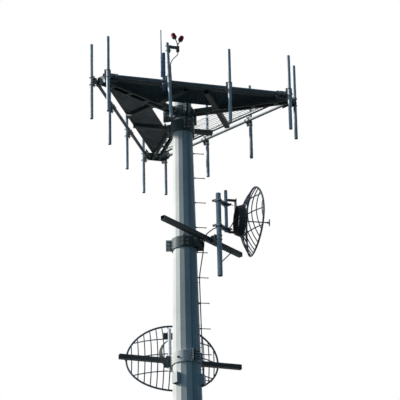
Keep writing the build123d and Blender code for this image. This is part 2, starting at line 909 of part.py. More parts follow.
def vertex(pipe_place, angle, level, side):
    """Middle of a dish, out from its pipe and to one side of it."""
    out = Vector(dish_stand_off, -side, 0).rotate(Axis.Z, angle)
    return out + Vector(pipe_place[0], pipe_place[1], level)


def placed(piece, pipe_place, angle, level, side):
    """Dish piece moved to its place on the dish pipe."""
    return piece.rotate(Axis.Z, angle).translate(vertex(pipe_place, angle, level, side))


def brace(start, end, cut_at_start, cut_at_end):
    """Six-sided bar between two pieces, cut to the face of each."""
    with BuildPart() as bar:
        with BuildSketch(run(start, end)):
            RegularPolygon(strut_diameter / 2, strut_sides)
        extrude(amount=distance(start, end))
        add(cut_at_start, mode=Mode.SUBTRACT)
        add(cut_at_end, mode=Mode.SUBTRACT)
    return bar.part.solids().sort_by(SortBy.VOLUME)[-1]


hoop_band = hoop()
feed_boom = feed()

# Middle mount
put(
    mount_clamp(
        middle_level - middle_ring_below_beam,
        middle_lug_count,
        middle_lug_turn,
        middle_beam_angle,
        middle_level,
    ),
    "middle_clamp",
)
put(box_beam(middle_beam_angle, middle_level, middle_beam_shift), "middle_beam")
mast_at = beam_point(middle_beam_angle, mast_distance, mast_place, middle_level)
mast_bottom = middle_level - mast_below_beam
put(pipe(mast_at, mast_bottom, mast_diameter, mast_wall, mast_length), "dish_mast")
put(saddle(middle_beam_angle, mast_distance, mast_diameter, mast_place, middle_level), "mast_saddle")
pipe_at = beam_point(middle_beam_angle, mast_distance, mast_place + dish_pipe_offset, middle_level)
pipe_foot = middle_level + dish_pipe_above_beam
put(pipe(pipe_at, pipe_foot, dish_pipe_diameter, dish_pipe_wall, dish_pipe_length), "middle_dish_pipe")

# Links between mast and dish pipe: a bar with a collar round each
with BuildPart() as pipe_links:
    beam_way = Vector(1, 0, 0).rotate(Axis.Z, middle_beam_angle)
    for rise in links_above_beam:
        low = (mast_at[0], mast_at[1], middle_level + rise - link_height / 2)
        with BuildSketch(Plane(origin=low, x_dir=beam_way, z_dir=(0, 0, 1))):
            Rectangle(dish_pipe_offset, link_width, align=OUTWARD)
            RegularPolygon(mast_diameter / 2 + link_collar, link_collar_sides, major_radius=False)
            Circle(mast_diameter / 2 + seat, mode=Mode.SUBTRACT)
            with Locations((dish_pipe_offset, 0)):
                RegularPolygon(dish_pipe_diameter / 2 + link_collar, link_collar_sides, major_radius=False)
                Circle(dish_pipe_diameter / 2 + seat, mode=Mode.SUBTRACT)
        extrude(amount=link_height)
put(pipe_links.part, "pipe_links")

# Strut from the beam down to the mast
with BuildPart() as mast_space:
    with Locations((mast_at[0], mast_at[1], mast_bottom)):
        Cylinder(mast_diameter / 2 + seat, mast_length, align=RISE)
mast_strut = brace(
    beam_point(middle_beam_angle, beam_distance, strut_place, middle_level),
    (mast_at[0], mast_at[1], middle_level - strut_below_beam),
    beam_space(middle_beam_angle, middle_level, middle_beam_shift),
    mast_space.part,
)
put(mast_strut, "mast_strut")

middle_dish_level = middle_level + middle_dish_above_beam
middle_place = (pipe_at, middle_dish_angle, middle_dish_level, 0)
put(placed(dish_grid(middle_dish_size), *middle_place), "middle_dish_grid")
put(placed(hoop_band, *middle_place), "middle_dish_hoop")
put(placed(hoop_arms(0, middle_arm_rises), *middle_place), "middle_hoop_arms")
put(placed(feed_boom, *middle_place), "middle_dish_feed")

# Lower mount, on the rear of the pole
lower_ring_bottom = lower_level - lower_ring_below_beam
lower_clamp = mount_clamp(
    lower_ring_bottom, lower_lug_count, lower_lug_turn, lower_beam_angle, lower_level
)
put(lower_clamp, "lower_clamp")
put(box_beam(lower_beam_angle, lower_level, 0), "lower_beam")
lower_saddle = saddle(
    lower_beam_angle, lower_pipe_distance, dish_pipe_diameter, lower_pipe_place, lower_level
)
put(lower_saddle, "lower_saddle")
lower_pipe_at = beam_point(lower_beam_angle, lower_pipe_distance, lower_pipe_place, lower_level)
pipe_foot = lower_level - lower_pipe_below_beam
lower_pipe = pipe(lower_pipe_at, pipe_foot, dish_pipe_diameter, dish_pipe_wall, dish_pipe_length)
put(lower_pipe, "lower_dish_pipe")
lower_dish_level = lower_level + lower_dish_above_beam
lower_place = (lower_pipe_at, lower_dish_angle, lower_dish_level, lower_dish_side)
put(placed(dish_grid(lower_dish_size), *lower_place), "lower_dish_grid")
put(placed(hoop_band, *lower_place), "lower_dish_hoop")
put(placed(hoop_arms(lower_dish_side, lower_arm_rises), *lower_place), "lower_hoop_arms")
put(placed(feed_boom, *lower_place), "lower_dish_feed")

# Braces from the beam's ends to the sides of the dish's rim
rim_half = lower_dish_size[0] / 2 + dish_rim_width / 3
rim_space = placed(dish_rim(lower_dish_size, grow=seat), *lower_place)
beam_cut = beam_space(lower_beam_angle, lower_level, 0)
braces = []
for side in (-1, 1):
    rim_end = Vector(depth_at(rim_half), -side * rim_half, 0).rotate(Axis.Z, lower_dish_angle)
    rim_point = rim_end + vertex(*lower_place)
    start = beam_point(lower_beam_angle, beam_distance, -side * brace_place, lower_level)
    braces.append(brace(start, tuple(rim_point), beam_cut, rim_space))
put(Compound(children=braces), "lower_braces")

# Coax jumper: from behind the middle dish, over the beam, then down the pole to a port hood
with BuildPart() as coax_run:
    bulge = (shaft_width(lower_ring_bottom) / 2 + seat) * (1 / cos(pi / shaft_sides) - 1)
    drift = mount_ring_height * shaft_taper / 2
    stand = bulge + drift + mount_ring_metal + coax_diameter / 2 + 2 * seat
    joins_pole = middle_level - coax_joins_pole_below_beam
    hood_top = hood_level + hood_height + seat
    middle_vertex = vertex(*middle_place)
    start = (
        middle_vertex.X - dish_grid_thickness / 2 - seat,
        middle_vertex.Y,
        middle_dish_level + coax_from_dish,
    )
    with BuildLine() as way:
        FilletPolyline(
            start,
            (start[0] - coax_tail, start[1], start[2]),
            (985, -110, middle_level + 330),
            (775, -180, middle_level + 320),
            (600, -270, middle_level + 260),
            (395, -180, middle_level + 90),
            (385, -165, middle_level - 180),
            polar(shaft_width(joins_pole) / 2 + stand, port_angle, joins_pole),
            polar(shaft_width(hood_top) / 2 + stand, port_angle, hood_top),
            radius=coax_bend,
        )
    with BuildSketch(run(start, (start[0] - 1, start[1], start[2]))):
        RegularPolygon(coax_diameter / 2, coax_sides)
    sweep(path=way.line)
put(coax_run.part, "coax_run")
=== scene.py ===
"""Cell tower: a tapered steel pole with a three-sided antenna platform, two grid dishes, an obstruction
light and a whip antenna. The frame's solids carry the main shapes. This file adds the round pipes,
gratings, dish wire, fastenings and finishes, and sets up the stage. All sizes are in metres."""

from itertools import product
from math import atan2, cos, degrees, pi, radians, sin, sqrt, tan

import bmesh
import bpy
from bpy.props import FloatProperty, FloatVectorProperty, PointerProperty
from mathutils import Matrix, Vector


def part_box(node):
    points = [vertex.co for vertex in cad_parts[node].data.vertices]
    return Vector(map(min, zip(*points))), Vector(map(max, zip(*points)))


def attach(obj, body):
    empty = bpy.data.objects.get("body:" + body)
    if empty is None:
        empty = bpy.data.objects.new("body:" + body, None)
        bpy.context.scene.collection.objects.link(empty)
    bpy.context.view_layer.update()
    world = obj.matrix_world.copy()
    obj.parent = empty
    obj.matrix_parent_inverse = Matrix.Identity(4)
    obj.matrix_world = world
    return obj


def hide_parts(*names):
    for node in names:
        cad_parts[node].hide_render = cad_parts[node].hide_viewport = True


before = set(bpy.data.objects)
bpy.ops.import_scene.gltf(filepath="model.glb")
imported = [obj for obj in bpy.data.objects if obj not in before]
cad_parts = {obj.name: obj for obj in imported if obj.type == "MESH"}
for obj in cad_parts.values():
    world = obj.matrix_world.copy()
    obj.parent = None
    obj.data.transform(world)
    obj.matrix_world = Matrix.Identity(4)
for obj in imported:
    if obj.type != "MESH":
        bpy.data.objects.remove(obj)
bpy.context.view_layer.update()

bl_info = {
    "name": "Cell tower",
    "version": (1, 0, 0),
    "blender": (4, 5, 0),
    "location": "View3D > Sidebar > Tower",
    "description": "Dresses the cell tower's frame with pipes, gratings, dish wire, fastenings and finishes",
    "category": "Object",
}

RIGHT = Vector((1, 0, 0))
BACK = Vector((0, 1, 0))
UP = Vector((0, 0, 1))
HANDS = (-1, 1)
SHAFT_SIDES = 16

# Angles about the pole's axis, in degrees
SIDES = {"front": -90, "right": 30, "left": 150}
CORNERS = (-150, -30, 90)
SHAFT_TURN = 5

# Places that the frame's own pieces give
PIPE_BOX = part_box("mount_pipes_front")
LEVEL = (PIPE_BOX[0].z + PIPE_BOX[1].z) / 2
MOUNT_DISTANCE = -(PIPE_BOX[0].y + PIPE_BOX[1].y) / 2
RAIL_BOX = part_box("inner_rails")
ARM_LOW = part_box("arms")[0].z
SHAFT_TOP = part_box("upper_shaft")[1].z

# Half the width across the shaft's flats at its top, and what it gains with each metre down
SHAFT_TOP_HALF = 0.2025
SHAFT_HALF_TAPER = 0.0155


# Sizes and colours


def length(title, text, metres):
    return FloatProperty(name=title, description=text, default=metres, min=0.0, unit="LENGTH", precision=4)


def paint(title, text, hue):
    return FloatVectorProperty(
        name=title, description=text, default=hue, size=3, min=0.0, max=1.0, subtype="COLOR"
    )


class TowerSizes(bpy.types.PropertyGroup):
    mount_radius: length("Mount pipe radius", "Outer radius of the upright mount pipes", 0.038)
    face_radius: length("Face pipe radius", "Outer radius of the level face pipes", 0.0365)
    pipe_wall: length("Pipe wall", "Wall of the mount and face pipes", 0.005)
    plate: length("Clamp plate", "Thickness of the plates between mount and face pipes", 0.016)
    bar_pitch: length("Bearing bar pitch", "Spacing of the gratings' bearing bars", 0.020)
    bar_width: length("Bearing bar width", "Thickness of a bearing bar", 0.004)
    rod_pitch: length("Cross rod pitch", "Spacing of the gratings' cross rods", 0.075)
    peg_radius: length("Step peg radius", "Radius of the step pegs' round bar", 0.0095)
    rib_radius: length("Dish rib radius", "Radius of the dishes' upright ribs", 0.0125)
    cross_radius: length("Dish cross bar radius", "Radius of the dishes' level bars", 0.0130)
    rim_radius: length("Dish rim radius", "Radius of the dishes' rim tube", 0.0215)
    boom_radius: length("Feed boom radius", "Radius of the feed booms", 0.0130)
    brace_radius: length("Brace radius", "Radius of the dish braces and the mast strut", 0.0125)
    coax_radius: length("Coax radius", "Radius of the coax jumper", 0.0120)
    conduit_radius: length("Conduit radius", "Radius of the light's conduit", 0.0100)
    clamp_rod: length("Clamp rod radius", "Radius of the ring clamps' threaded rods", 0.0110)
    u_rod: length("U-bolt radius", "Rod radius of the U-bolts", 0.0075)


class TowerColours(bpy.types.PropertyGroup):
    pole: paint("Pole", "Weathered zinc of the shaft", (0.74, 0.74, 0.71))
    # Painted shade: this dark colour stands in for the platform's shadow on the head clamps and the shade on
    # other plates; weathered zinc is far paler.
    plate: paint("Plate", "Zinc of clamps and plates", (0.115, 0.135, 0.140))
    # Painted light: this pale colour stands in for sun on the face of the middle clamp's far lug.
    lug: paint("Lug", "Bright zinc of the middle clamp's far lug", (0.74, 0.75, 0.72))
    flange: paint("Flange", "Zinc of the base flange", (0.40, 0.42, 0.41))
    # Painted shade: this dark colour stands in for the shade on beams, brackets, pegs and rods; weathered
    # zinc is far paler.
    bar: paint("Bar", "Zinc of beams and brackets", (0.080, 0.096, 0.100))
    tube: paint("Tube", "Zinc of the round pipes", (0.70, 0.74, 0.78))
    # Painted shade: a darker copy of the tube zinc, standing in for the shade on the front and left face
    # pipes.
    dull_tube: paint("Dull tube", "Dull zinc of the front and left face pipes", (0.26, 0.29, 0.32))
    # Painted shade: this dark colour stands in for the shade under the platform; weathered zinc is far paler.
    platform: paint("Platform", "Zinc of the arms and rails", (0.070, 0.082, 0.080))
    # Painted shade: the close gratings' dark colour stands in for the shade under the deck.
    grating: paint("Grating", "Zinc of the close gratings", (0.088, 0.122, 0.142))
    # Painted light: the open grating's pale colour stands in for sun on its bars; it is a lit copy of the
    # grating zinc.
    mesh: paint("Open grating", "Bright zinc of the open grating", (0.80, 0.82, 0.80))
    bolt: paint("Bolt", "Zinc of bolts and nuts", (0.26, 0.28, 0.28))
    housing: paint("Light housing", "Painted light box and bracket", (0.060, 0.075, 0.085))
    lens: paint("Lens", "Red lens of the lamps", (0.46, 0.008, 0.022))
    conduit: paint("Conduit", "Conduit of the light", (0.26, 0.32, 0.38))
    # Partly painted shade: the whip's strong blue stands in for sky-lit shade on pale blue-grey fibreglass.
    whip: paint("Whip", "Fibreglass of the whip antenna", (0.20, 0.32, 0.50))
    # Painted shade: the whip pipe's navy stands in for its sky-lit shade.
    whip_pipe: paint("Whip pipe", "Painted pipe that holds the whip", (0.10, 0.17, 0.29))
    # Painted shade: the dish wire's dark navy stands in for the shade on the wires.
    wire: paint("Dish wire", "Zinc wire of the dishes", (0.10, 0.135, 0.175))
    hoop: paint("Hoop", "Dark paint of the dish hoops", (0.022, 0.028, 0.032))
    feed: paint("Feed", "Feed booms and heads", (0.10, 0.12, 0.15))
    jacket: paint("Cable jacket", "Coax jacket", (0.010, 0.013, 0.020))
    floor: paint("Floor", "Pale floor", (0.80, 0.80, 0.79))


def sizes():
    return bpy.context.scene.tower_sizes


def colour(name):
    return tuple(getattr(bpy.context.scene.tower_colours, name))


# Reading the frame


def solids(node):
    """Corner points of each separate solid of a CAD node."""
    mesh = bmesh.new()
    mesh.from_mesh(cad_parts[node].data)
    bmesh.ops.remove_doubles(mesh, verts=mesh.verts, dist=1e-5)
    found, seen = [], set()
    for first in mesh.verts:
        if first in seen:
            continue
        seen.add(first)
        waiting, points = [first], []
        while waiting:
            here = waiting.pop()
            points.append(here.co.copy())
            for edge in here.link_edges:
                other = edge.other_vert(here)
                if other not in seen:
                    seen.add(other)
                    waiting.append(other)
        found.append(points)
    mesh.free()
    return found


def mean(points):
    return sum(points, Vector()) / len(points)


def ends(points):
    """Middle points of the two ends of a long straight solid."""
    middle = mean(points)
    far = max(points, key=lambda point: (point - middle).length)
    way = far - middle
    low = [point for point in points if (point - middle).dot(way) < 0]
    high = [point for point in points if (point - middle).dot(way) > 0]
    return mean(low), mean(high)


def low_and_high(node):
    """Lower and upper end of each upright solid of a node."""
    return [sorted(ends(points), key=lambda end: end.z) for points in solids(node)]


def polar(radius, angle, level=0.0):
    turn = radians(angle)
    return Vector((radius * cos(turn), radius * sin(turn), level))


def ways(angle):
    """Outward and sideways directions at an angle."""
    return polar(1, angle), polar(1, angle + 90)


def shaft_half(level):
    """Half the width across the shaft's flats in the upper section."""
    return SHAFT_TOP_HALF + SHAFT_HALF_TAPER * (SHAFT_TOP - level)


# Mesh tools

# Sizes of a nut and its washer, as shares of the rod's radius
WASHER_RADIUS, WASHER_DEPTH = 2.2, 0.4
NUT_RADIUS, NUT_DEPTH, NUT_EDGE = 1.85, 1.6, 0.2
NUT_FOOT, NUT_CROWN = 0.92, 0.90

# U-bolts: tail as a share of the rod's radius, and steps round the bow
U_BOLT_TAIL = 5.5
U_BOLT_STEPS = 14
SHARP_ANGLE = radians(40)


def full_turn(count, shift=0.0):
    return [2 * pi * (i + shift) / count for i in range(count)]


def ring_points(centre, across, other, radius, sides):
    return [centre + across * (radius * cos(t)) + other * (radius * sin(t)) for t in full_turn(sides)]


def rounded(points, radius, steps=6):
    """Points with each inner corner replaced by a smooth bend."""
    way = [points[0]]
    for before, corner, after in zip(points, points[1:], points[2:]):
        reach = min(radius, 0.45 * (before - corner).length, 0.45 * (after - corner).length)
        start = corner + (before - corner).normalized() * reach
        end = corner + (after - corner).normalized() * reach
        for i in range(steps + 1):
            t = i / steps
            way.append(start * (1 - t) ** 2 + corner * (2 * t * (1 - t)) + end * t**2)
    return way + [points[-1]]


class Form:
    """A mesh being made from skinned rings of points."""

    def __init__(self):
        self.mesh = bmesh.new()

    def loft(self, rings, closed=False):
        rows = [[self.mesh.verts.new(point) for point in ring] for ring in rings]
        pairs = list(zip(rows, rows[1:]))
        if closed:
            pairs.append((rows[-1], rows[0]))
        for low, high in pairs:
            for j in range(len(low)):
                k = (j + 1) % len(low)
                self.mesh.faces.new((low[j], low[k], high[k], high[j]))
        if not closed:
            self.mesh.faces.new(rows[0][::-1])
            self.mesh.faces.new(rows[-1])

    def lathe(self, base, way, profile, sides=24, across=None, closed=False):
        """Turned form whose profile gives distances along way, and radii."""
        way = way.normalized()
        across = way.orthogonal() if across is None else across - way * across.dot(way)
        across = across.normalized()
        other = way.cross(across)
        rings = [ring_points(base + way * along, across, other, r, sides) for along, r in profile]
        self.loft(rings, closed)

    def tube(self, start, end, outer, wall, sides=40):
        """Hollow pipe with its outer edges broken."""
        reach = (end - start).length
        edge = wall * 0.25
        inner = outer - wall
        outside = [(0, outer - edge), (edge, outer), (reach - edge, outer), (reach, outer - edge)]
        self.lathe(start, end - start, outside + [(reach, inner), (0, inner)], sides, closed=True)

    def rod(self, start, end, radius, sides=12):
        reach = (end - start).length
        edge = min(radius * 0.3, reach / 4)
        profile = [(0, radius - edge), (edge, radius), (reach - edge, radius), (reach, radius - edge)]
        self.lathe(start, end - start, profile, sides)

    def sweep(self, points, radius, sides=10, closed=False, reference=None):
        """Round bar along points."""
        rings, side = [], None
        count = len(points)
        for i, point in enumerate(points):
            before = points[i - 1] if closed or i else point
            after = points[(i + 1) % count] if closed or i < count - 1 else point
            way = (after - before).normalized()
            if reference is not None:
                side = reference.cross(way).normalized()
            elif side is None:
                side = way.orthogonal().normalized()
            else:
                side = (side - way * side.dot(way)).normalized()
            rings.append(ring_points(point, side, way.cross(side), radius, sides))
        self.loft(rings, closed)

    def block(self, centre, x_way, y_way, size, chamfer=0.0):
        """Bar whose section spans x_way and y_way, with its long edges chamfered."""
        z_way = x_way.cross(y_way).normalized()
        half_x, half_y, half_z = (value / 2 for value in size)
        if chamfer:
            short_x, short_y = half_x - chamfer, half_y - chamfer
            upper = [(half_x, short_y), (short_x, half_y), (-short_x, half_y), (-half_x, short_y)]
            corners = upper + [(-x, -y) for x, y in upper]
        else:
            corners = [(half_x, half_y), (-half_x, half_y), (-half_x, -half_y), (half_x, -half_y)]
        section = [x_way * x + y_way * y for x, y in corners]
        self.loft([[centre + point + z_way * z for point in section] for z in (-half_z, half_z)])

    def band(self, path, radius=0.003, sides=8):
        """Level closed strap."""
        self.sweep(path, radius, sides, closed=True, reference=UP)

    def nut(self, base, way, rod):
        """Hexagon nut on a washer, standing on base."""
        way = way.normalized()
        washer, size = WASHER_DEPTH * rod, NUT_RADIUS * rod
        edge, depth = NUT_EDGE * rod, NUT_DEPTH * rod
        self.lathe(base, way, [(0, WASHER_RADIUS * rod), (washer, WASHER_RADIUS * rod)], 16)
        profile = [(0, size * NUT_FOOT), (edge, size), (depth - edge, size), (depth, size * NUT_CROWN)]
        self.lathe(base + way * washer, way, profile, 6)

    def bolt(self, near, far, rod, tail=0.02, head_tail=0.0):
        """Rod through the metal between two faces, with a nut on each."""
        way = (far - near).normalized()
        stack = (WASHER_DEPTH + NUT_DEPTH) * rod
        self.rod(near - way * (stack + head_tail), far + way * (stack + tail), rod)
        self.nut(near, -way, rod)
        self.nut(far, way, rod)

    def u_bolt(self, centre, axis, out, pipe, rod, back, spread=0.0):
        """U-bolt round a pipe: its bow on the out side, its nuts at a distance behind the pipe's centre."""
        side = axis.cross(out).normalized()
        deep = pipe + rod
        wide = spread or deep
        tail = out * (back + U_BOLT_TAIL * rod)
        path = [centre - tail + side * wide]
        for i in range(U_BOLT_STEPS + 1):
            t = pi * i / U_BOLT_STEPS
            path.append(centre + side * (wide * cos(t)) + out * (deep * sin(t)))
        path.append(centre - tail - side * wide)
        self.sweep(path, rod)
        for hand in HANDS:
            self.nut(centre - out * back + side * (hand * wide), -out, rod)


def piece(form, name, coat, slot, *nodes):
    """Turn a form into a named piece of the tower with one finish."""
    bmesh.ops.recalc_face_normals(form.mesh, faces=form.mesh.faces)
    mesh = bpy.data.meshes.new(name)
    form.mesh.to_mesh(mesh)
    form.mesh.free()
    mesh.materials.append(finish(coat))
    mesh.shade_smooth()
    mesh.set_sharp_from_angle(angle=SHARP_ANGLE)
    made = bpy.data.objects.new(name, mesh)
    bpy.context.scene.collection.objects.link(made)
    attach(made, "root")
    if nodes:
        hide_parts(*nodes)


def dress(coat, *nodes):
    """Give CAD nodes their finish."""
    material = finish(coat)
    for name in nodes:
        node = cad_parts[name]
        if not node.material_slots:
            node.data.materials.append(material)
        for slot in node.material_slots:
            slot.material = material


# Finishes

# Zinc: tones of its patches, streaks and crystals, as shares of its colour
PATCH_TONES = (0.86, 1.08)
STREAK_TONE = (0.80, 0.77, 0.72)
CRYSTAL_TONE, CRYSTAL_SHARE = 1.35, 0.16
GLOSS_SPREAD = 0.07

# Grey that dust turns moulded plastic and paint towards
DUST_GREY = 0.45

# Inputs and output of a colour mix node
MIX_FIRST, MIX_SECOND, MIX_RESULT = 6, 7, 2


class Surface:
    """Node tree of one finish."""

    def __init__(self, name, roughness, metallic, specular):
        self.material = bpy.data.materials.new(name)
        self.material.use_nodes = True
        self.tree = self.material.node_tree
        self.shader = self.tree.nodes["Principled BSDF"]
        self.shader.inputs["Metallic"].default_value = metallic
        self.shader.inputs["Specular IOR Level"].default_value = specular
        self.shader.inputs["Roughness"].default_value = roughness
        self.place = self.node("ShaderNodeTexCoord").outputs["Object"]

    def node(self, kind, **settings):
        made = self.tree.nodes.new(kind)
        for key, value in settings.items():
            setattr(made, key, value)
        return made

    def link(self, start, end):
        self.tree.links.new(start, end)

    def noise(self, scale, detail=4.0, stretch=(1, 1, 1)):
        """Noise over the piece, in cycles a metre."""
        spread = self.node("ShaderNodeMapping")
        spread.inputs["Scale"].default_value = stretch
        self.link(self.place, spread.inputs["Vector"])
        texture = self.node("ShaderNodeTexNoise")
        texture.inputs["Scale"].default_value = scale
        texture.inputs["Detail"].default_value = detail
        self.link(spread.outputs["Vector"], texture.inputs["Vector"])
        return texture.outputs["Fac"]

    def reach(self, way):
        """Distance along a direction, or from the pole's axis where the direction is None."""
        place = self.node("ShaderNodeVectorMath", operation="DOT_PRODUCT" if way else "MULTIPLY")
        place.inputs[1].default_value = way or (1, 1, 0)
        self.link(self.place, place.inputs[0])
        if way:
            return place.outputs["Value"]
        far = self.node("ShaderNodeVectorMath", operation="LENGTH")
        self.link(place.outputs["Vector"], far.inputs[0])
        return far.outputs["Value"]

    def remap(self, value, low, high, out_low=0.0, out_high=1.0):
        made = self.node("ShaderNodeMapRange")
        for key, number in (("From Min", low), ("From Max", high), ("To Min", out_low), ("To Max", out_high)):
            made.inputs[key].default_value = number
        self.link(value, made.inputs["Value"])
        return made.outputs["Result"]

    def mix(self, factor, first, second):
        """Colour mix; first and second are colours or sockets."""
        made = self.node("ShaderNodeMix", data_type="RGBA")
        for index, value in ((MIX_FIRST, first), (MIX_SECOND, second)):
            if isinstance(value, bpy.types.NodeSocket):
                self.link(value, made.inputs[index])
            else:
                made.inputs[index].default_value = (*value, 1)
        self.link(factor, made.inputs["Factor"])
        return made.outputs[MIX_RESULT]

    def coat(self, shade, gloss=None):
        """Give the shader its colour, and its roughness where that varies."""
        self.link(shade, self.shader.inputs["Base Color"])
        if gloss is not None:
            self.link(gloss, self.shader.inputs["Roughness"])

    def bump(self, value, depth, strength):
        made = self.node("ShaderNodeBump")
        made.inputs["Distance"].default_value = depth
        made.inputs["Strength"].default_value = strength
        self.link(value, made.inputs["Height"])
        self.link(made.outputs["Normal"], self.shader.inputs["Normal"])


def tint(hue, factor):
    return tuple(min(1.0, part * factor) for part in hue)


def zinc(
    name, hue, roughness=0.5, metallic=0.0, specular=0.12, streaks=0.35, patch=1.6, spangle=70.0, lug=None
):
    """Weathered hot-dip zinc: cloudy patches, rain streaks, crystal pattern and a dusty grain."""
    surface = Surface(name, roughness, metallic, specular)
    cloud = surface.noise(patch, 6.0)
    dark, pale = (tint(hue, tone) for tone in PATCH_TONES)
    shade = surface.mix(surface.remap(cloud, 0.38, 0.66), dark, pale)
    rain = surface.remap(surface.noise(2.6, 5.0, (9, 9, 0.35)), 0.54, 0.78, 0, streaks)
    shade = surface.mix(rain, shade, tuple(part * tone for part, tone in zip(hue, STREAK_TONE)))
    crystal = surface.node("ShaderNodeTexVoronoi")
    crystal.inputs["Scale"].default_value = spangle
    surface.link(surface.place, crystal.inputs["Vector"])
    split = surface.node("ShaderNodeSeparateColor")
    surface.link(crystal.outputs["Color"], split.inputs["Color"])
    crystals = surface.remap(split.outputs["Red"], 0, 1, 0, CRYSTAL_SHARE)
    shade = surface.mix(crystals, shade, tint(hue, CRYSTAL_TONE))
    # A lug is a second colour past a distance along a direction, or from the pole's axis: painted light on
    # the middle ring's far lug, painted shade on the lower ring's lugs.
    if lug:
        lug_hue, way, start, full = lug
        shade = surface.mix(surface.remap(surface.reach(way), start, full), shade, colour(lug_hue))
    surface.coat(shade, surface.remap(cloud, 0.3, 0.7, roughness + GLOSS_SPREAD, roughness - GLOSS_SPREAD))
    surface.bump(surface.noise(260.0, 3.0), 0.0002, 0.4)
    return surface.material


def moulded(name, hue, roughness=0.45, specular=0.2, grain=180.0, dust=0.08):
    """Moulded plastic or paint: faint dust in patches, and a fine skin."""
    surface = Surface(name, roughness, 0.0, specular)
    cloud = surface.noise(4.0, 5.0)
    dusty = tuple(part + (DUST_GREY - part) * dust for part in hue)
    shade = surface.mix(surface.remap(cloud, 0.4, 0.75), hue, dusty)
    surface.coat(shade, surface.remap(cloud, 0.3, 0.7, roughness - 0.05, roughness + 0.08))
    surface.bump(surface.noise(grain, 2.0), 0.0002, 0.3)
    return surface.material


def lens_glass(name, hue):
    """Red lens: soft gloss over deep red, darker in patches where dirt sits."""
    surface = Surface(name, 0.32, 0.0, 0.06)
    surface.shader.inputs["Coat Weight"].default_value = 0.03
    surface.shader.inputs["Coat Roughness"].default_value = 0.06
    dirt = surface.remap(surface.noise(9.0, 4.0), 0.35, 0.7)
    surface.coat(surface.mix(dirt, hue, tint(hue, 0.6)))
    surface.bump(surface.noise(60.0, 2.0), 0.0006, 0.3)
    return surface.material


# Lugs of the two rings: colour, direction, and where it starts and is full. The middle ring's far lug, on the
# key lamp's side, takes painted light; the lower ring's lugs take painted shade.
LIT_LUG = ("lug", (-1, 0, 0), 0.285, 0.300)
SHADED_LUGS = ("plate", None, 0.340, 0.350)

# Finishes: maker, title, colour, and what differs from the maker's usual values
FINISHES = {
    "pole": (zinc, "Weathered pole zinc", "pole", dict(specular=0.10, streaks=0.3, patch=0.9, spangle=40.0)),
    "plate": (zinc, "Plate zinc", "plate", {}),
    "flange": (zinc, "Flange zinc", "flange", {}),
    "middle_ring": (zinc, "Middle ring zinc", "plate", dict(lug=LIT_LUG)),
    "lower_ring": (zinc, "Lower ring zinc", "pole", dict(lug=SHADED_LUGS)),
    "bar": (zinc, "Beam zinc", "bar", {}),
    "tube": (zinc, "Tube zinc", "tube", dict(roughness=0.42, specular=0.20, streaks=0.25, patch=2.4)),
    "dull_tube": (
        zinc, "Dull tube zinc", "dull_tube", dict(roughness=0.45, specular=0.15, streaks=0.25, patch=2.4)
    ),
    "platform": (zinc, "Platform zinc", "platform", {}),
    "grating": (zinc, "Grating zinc", "grating", dict(specular=0.1, streaks=0.1, patch=2.2)),
    "mesh": (zinc, "Open grating zinc", "mesh", dict(specular=0.1, streaks=0.1, patch=2.2)),
    "bolt": (
        zinc,
        "Bolt zinc",
        "bolt",
        dict(roughness=0.4, metallic=0.2, specular=0.2, streaks=0.2, patch=12.0, spangle=200.0),
    ),
    "wire": (
        zinc,
        "Dish wire zinc",
        "wire",
        dict(roughness=0.42, specular=0.18, streaks=0.2, patch=3.0, spangle=120.0),
    ),
    "whip_pipe": (zinc, "Painted whip pipe", "whip_pipe", dict(roughness=0.45, streaks=0.1, patch=2.4)),
    "whip": (moulded, "Whip fibreglass", "whip", dict(specular=0.15, grain=140.0, dust=0.05)),
    "housing": (moulded, "Light housing paint", "housing", {}),
    "conduit": (moulded, "Conduit grey", "conduit", dict(roughness=0.5)),
    "hoop": (moulded, "Hoop paint", "hoop", dict(roughness=0.55, specular=0.12)),
    "feed": (moulded, "Feed paint", "feed", {}),
    "jacket": (moulded, "Coax jacket", "jacket", dict(roughness=0.55, grain=300.0, dust=0.05)),
    "lens": (lens_glass, "Red lamp lens", "lens", {}),
}


def finish(name):
    """Material of a finish, made at its first use."""
    maker, title, hue, settings = FINISHES[name]
    return bpy.data.materials.get(title) or maker(title, colour(hue), **settings)


# Pole

# How far points may lie from a corner or a level and still belong to it
NEAR = 0.002

WELD_BEAD = 0.007
SEAM_RADIUS = 0.004
SEAM_TURN = SHAFT_TURN + 180 / SHAFT_SIDES + 90


class TOWER_OT_pole(bpy.types.Operator):
    """Finish the pole, its flange and hoods, and add the welds"""

    bl_idname = "tower.pole"
    bl_label = "Pole and welds"

    def execute(self, context):
        dress("pole", "lower_shaft", "middle_shaft", "upper_shaft", "shaft_cap", "port_hoods")
        dress("flange", "base_flange")
        welds = Form()
        self.foot_weld(welds)
        for node in ("lower_shaft", "middle_shaft", "upper_shaft"):
            points = solids(node)[0]
            for turn in (SEAM_TURN, SEAM_TURN + 180):
                way = polar(1, turn)
                bottom, top = (self.corner(points, way, edge) for edge in (min, max))
                welds.rod(bottom, top, SEAM_RADIUS, 8)
        piece(welds, "pole_welds", "plate", "pole_steel")
        return {"FINISHED"}

    def foot_weld(self, form):
        """Bead round the pole's foot on the flange."""
        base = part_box("base_flange")[1].z
        foot = [point for point in solids("lower_shaft")[0] if point.z < base + WELD_BEAD]
        outer = max(point.xy.length for point in foot)
        corners = [point for point in foot if point.xy.length > outer - NEAR]
        corners.sort(key=lambda point: atan2(point.y, point.x))
        form.band([Vector((p.x, p.y, base + WELD_BEAD * 0.6)) for p in corners], WELD_BEAD)

    def corner(self, points, way, edge):
        """Outer corner at one end of a shaft section, farthest along a direction."""
        level = edge(point.z for point in points)
        row = [point for point in points if abs(point.z - level) < NEAR / 2]
        return max(row, key=lambda point: point.dot(way))


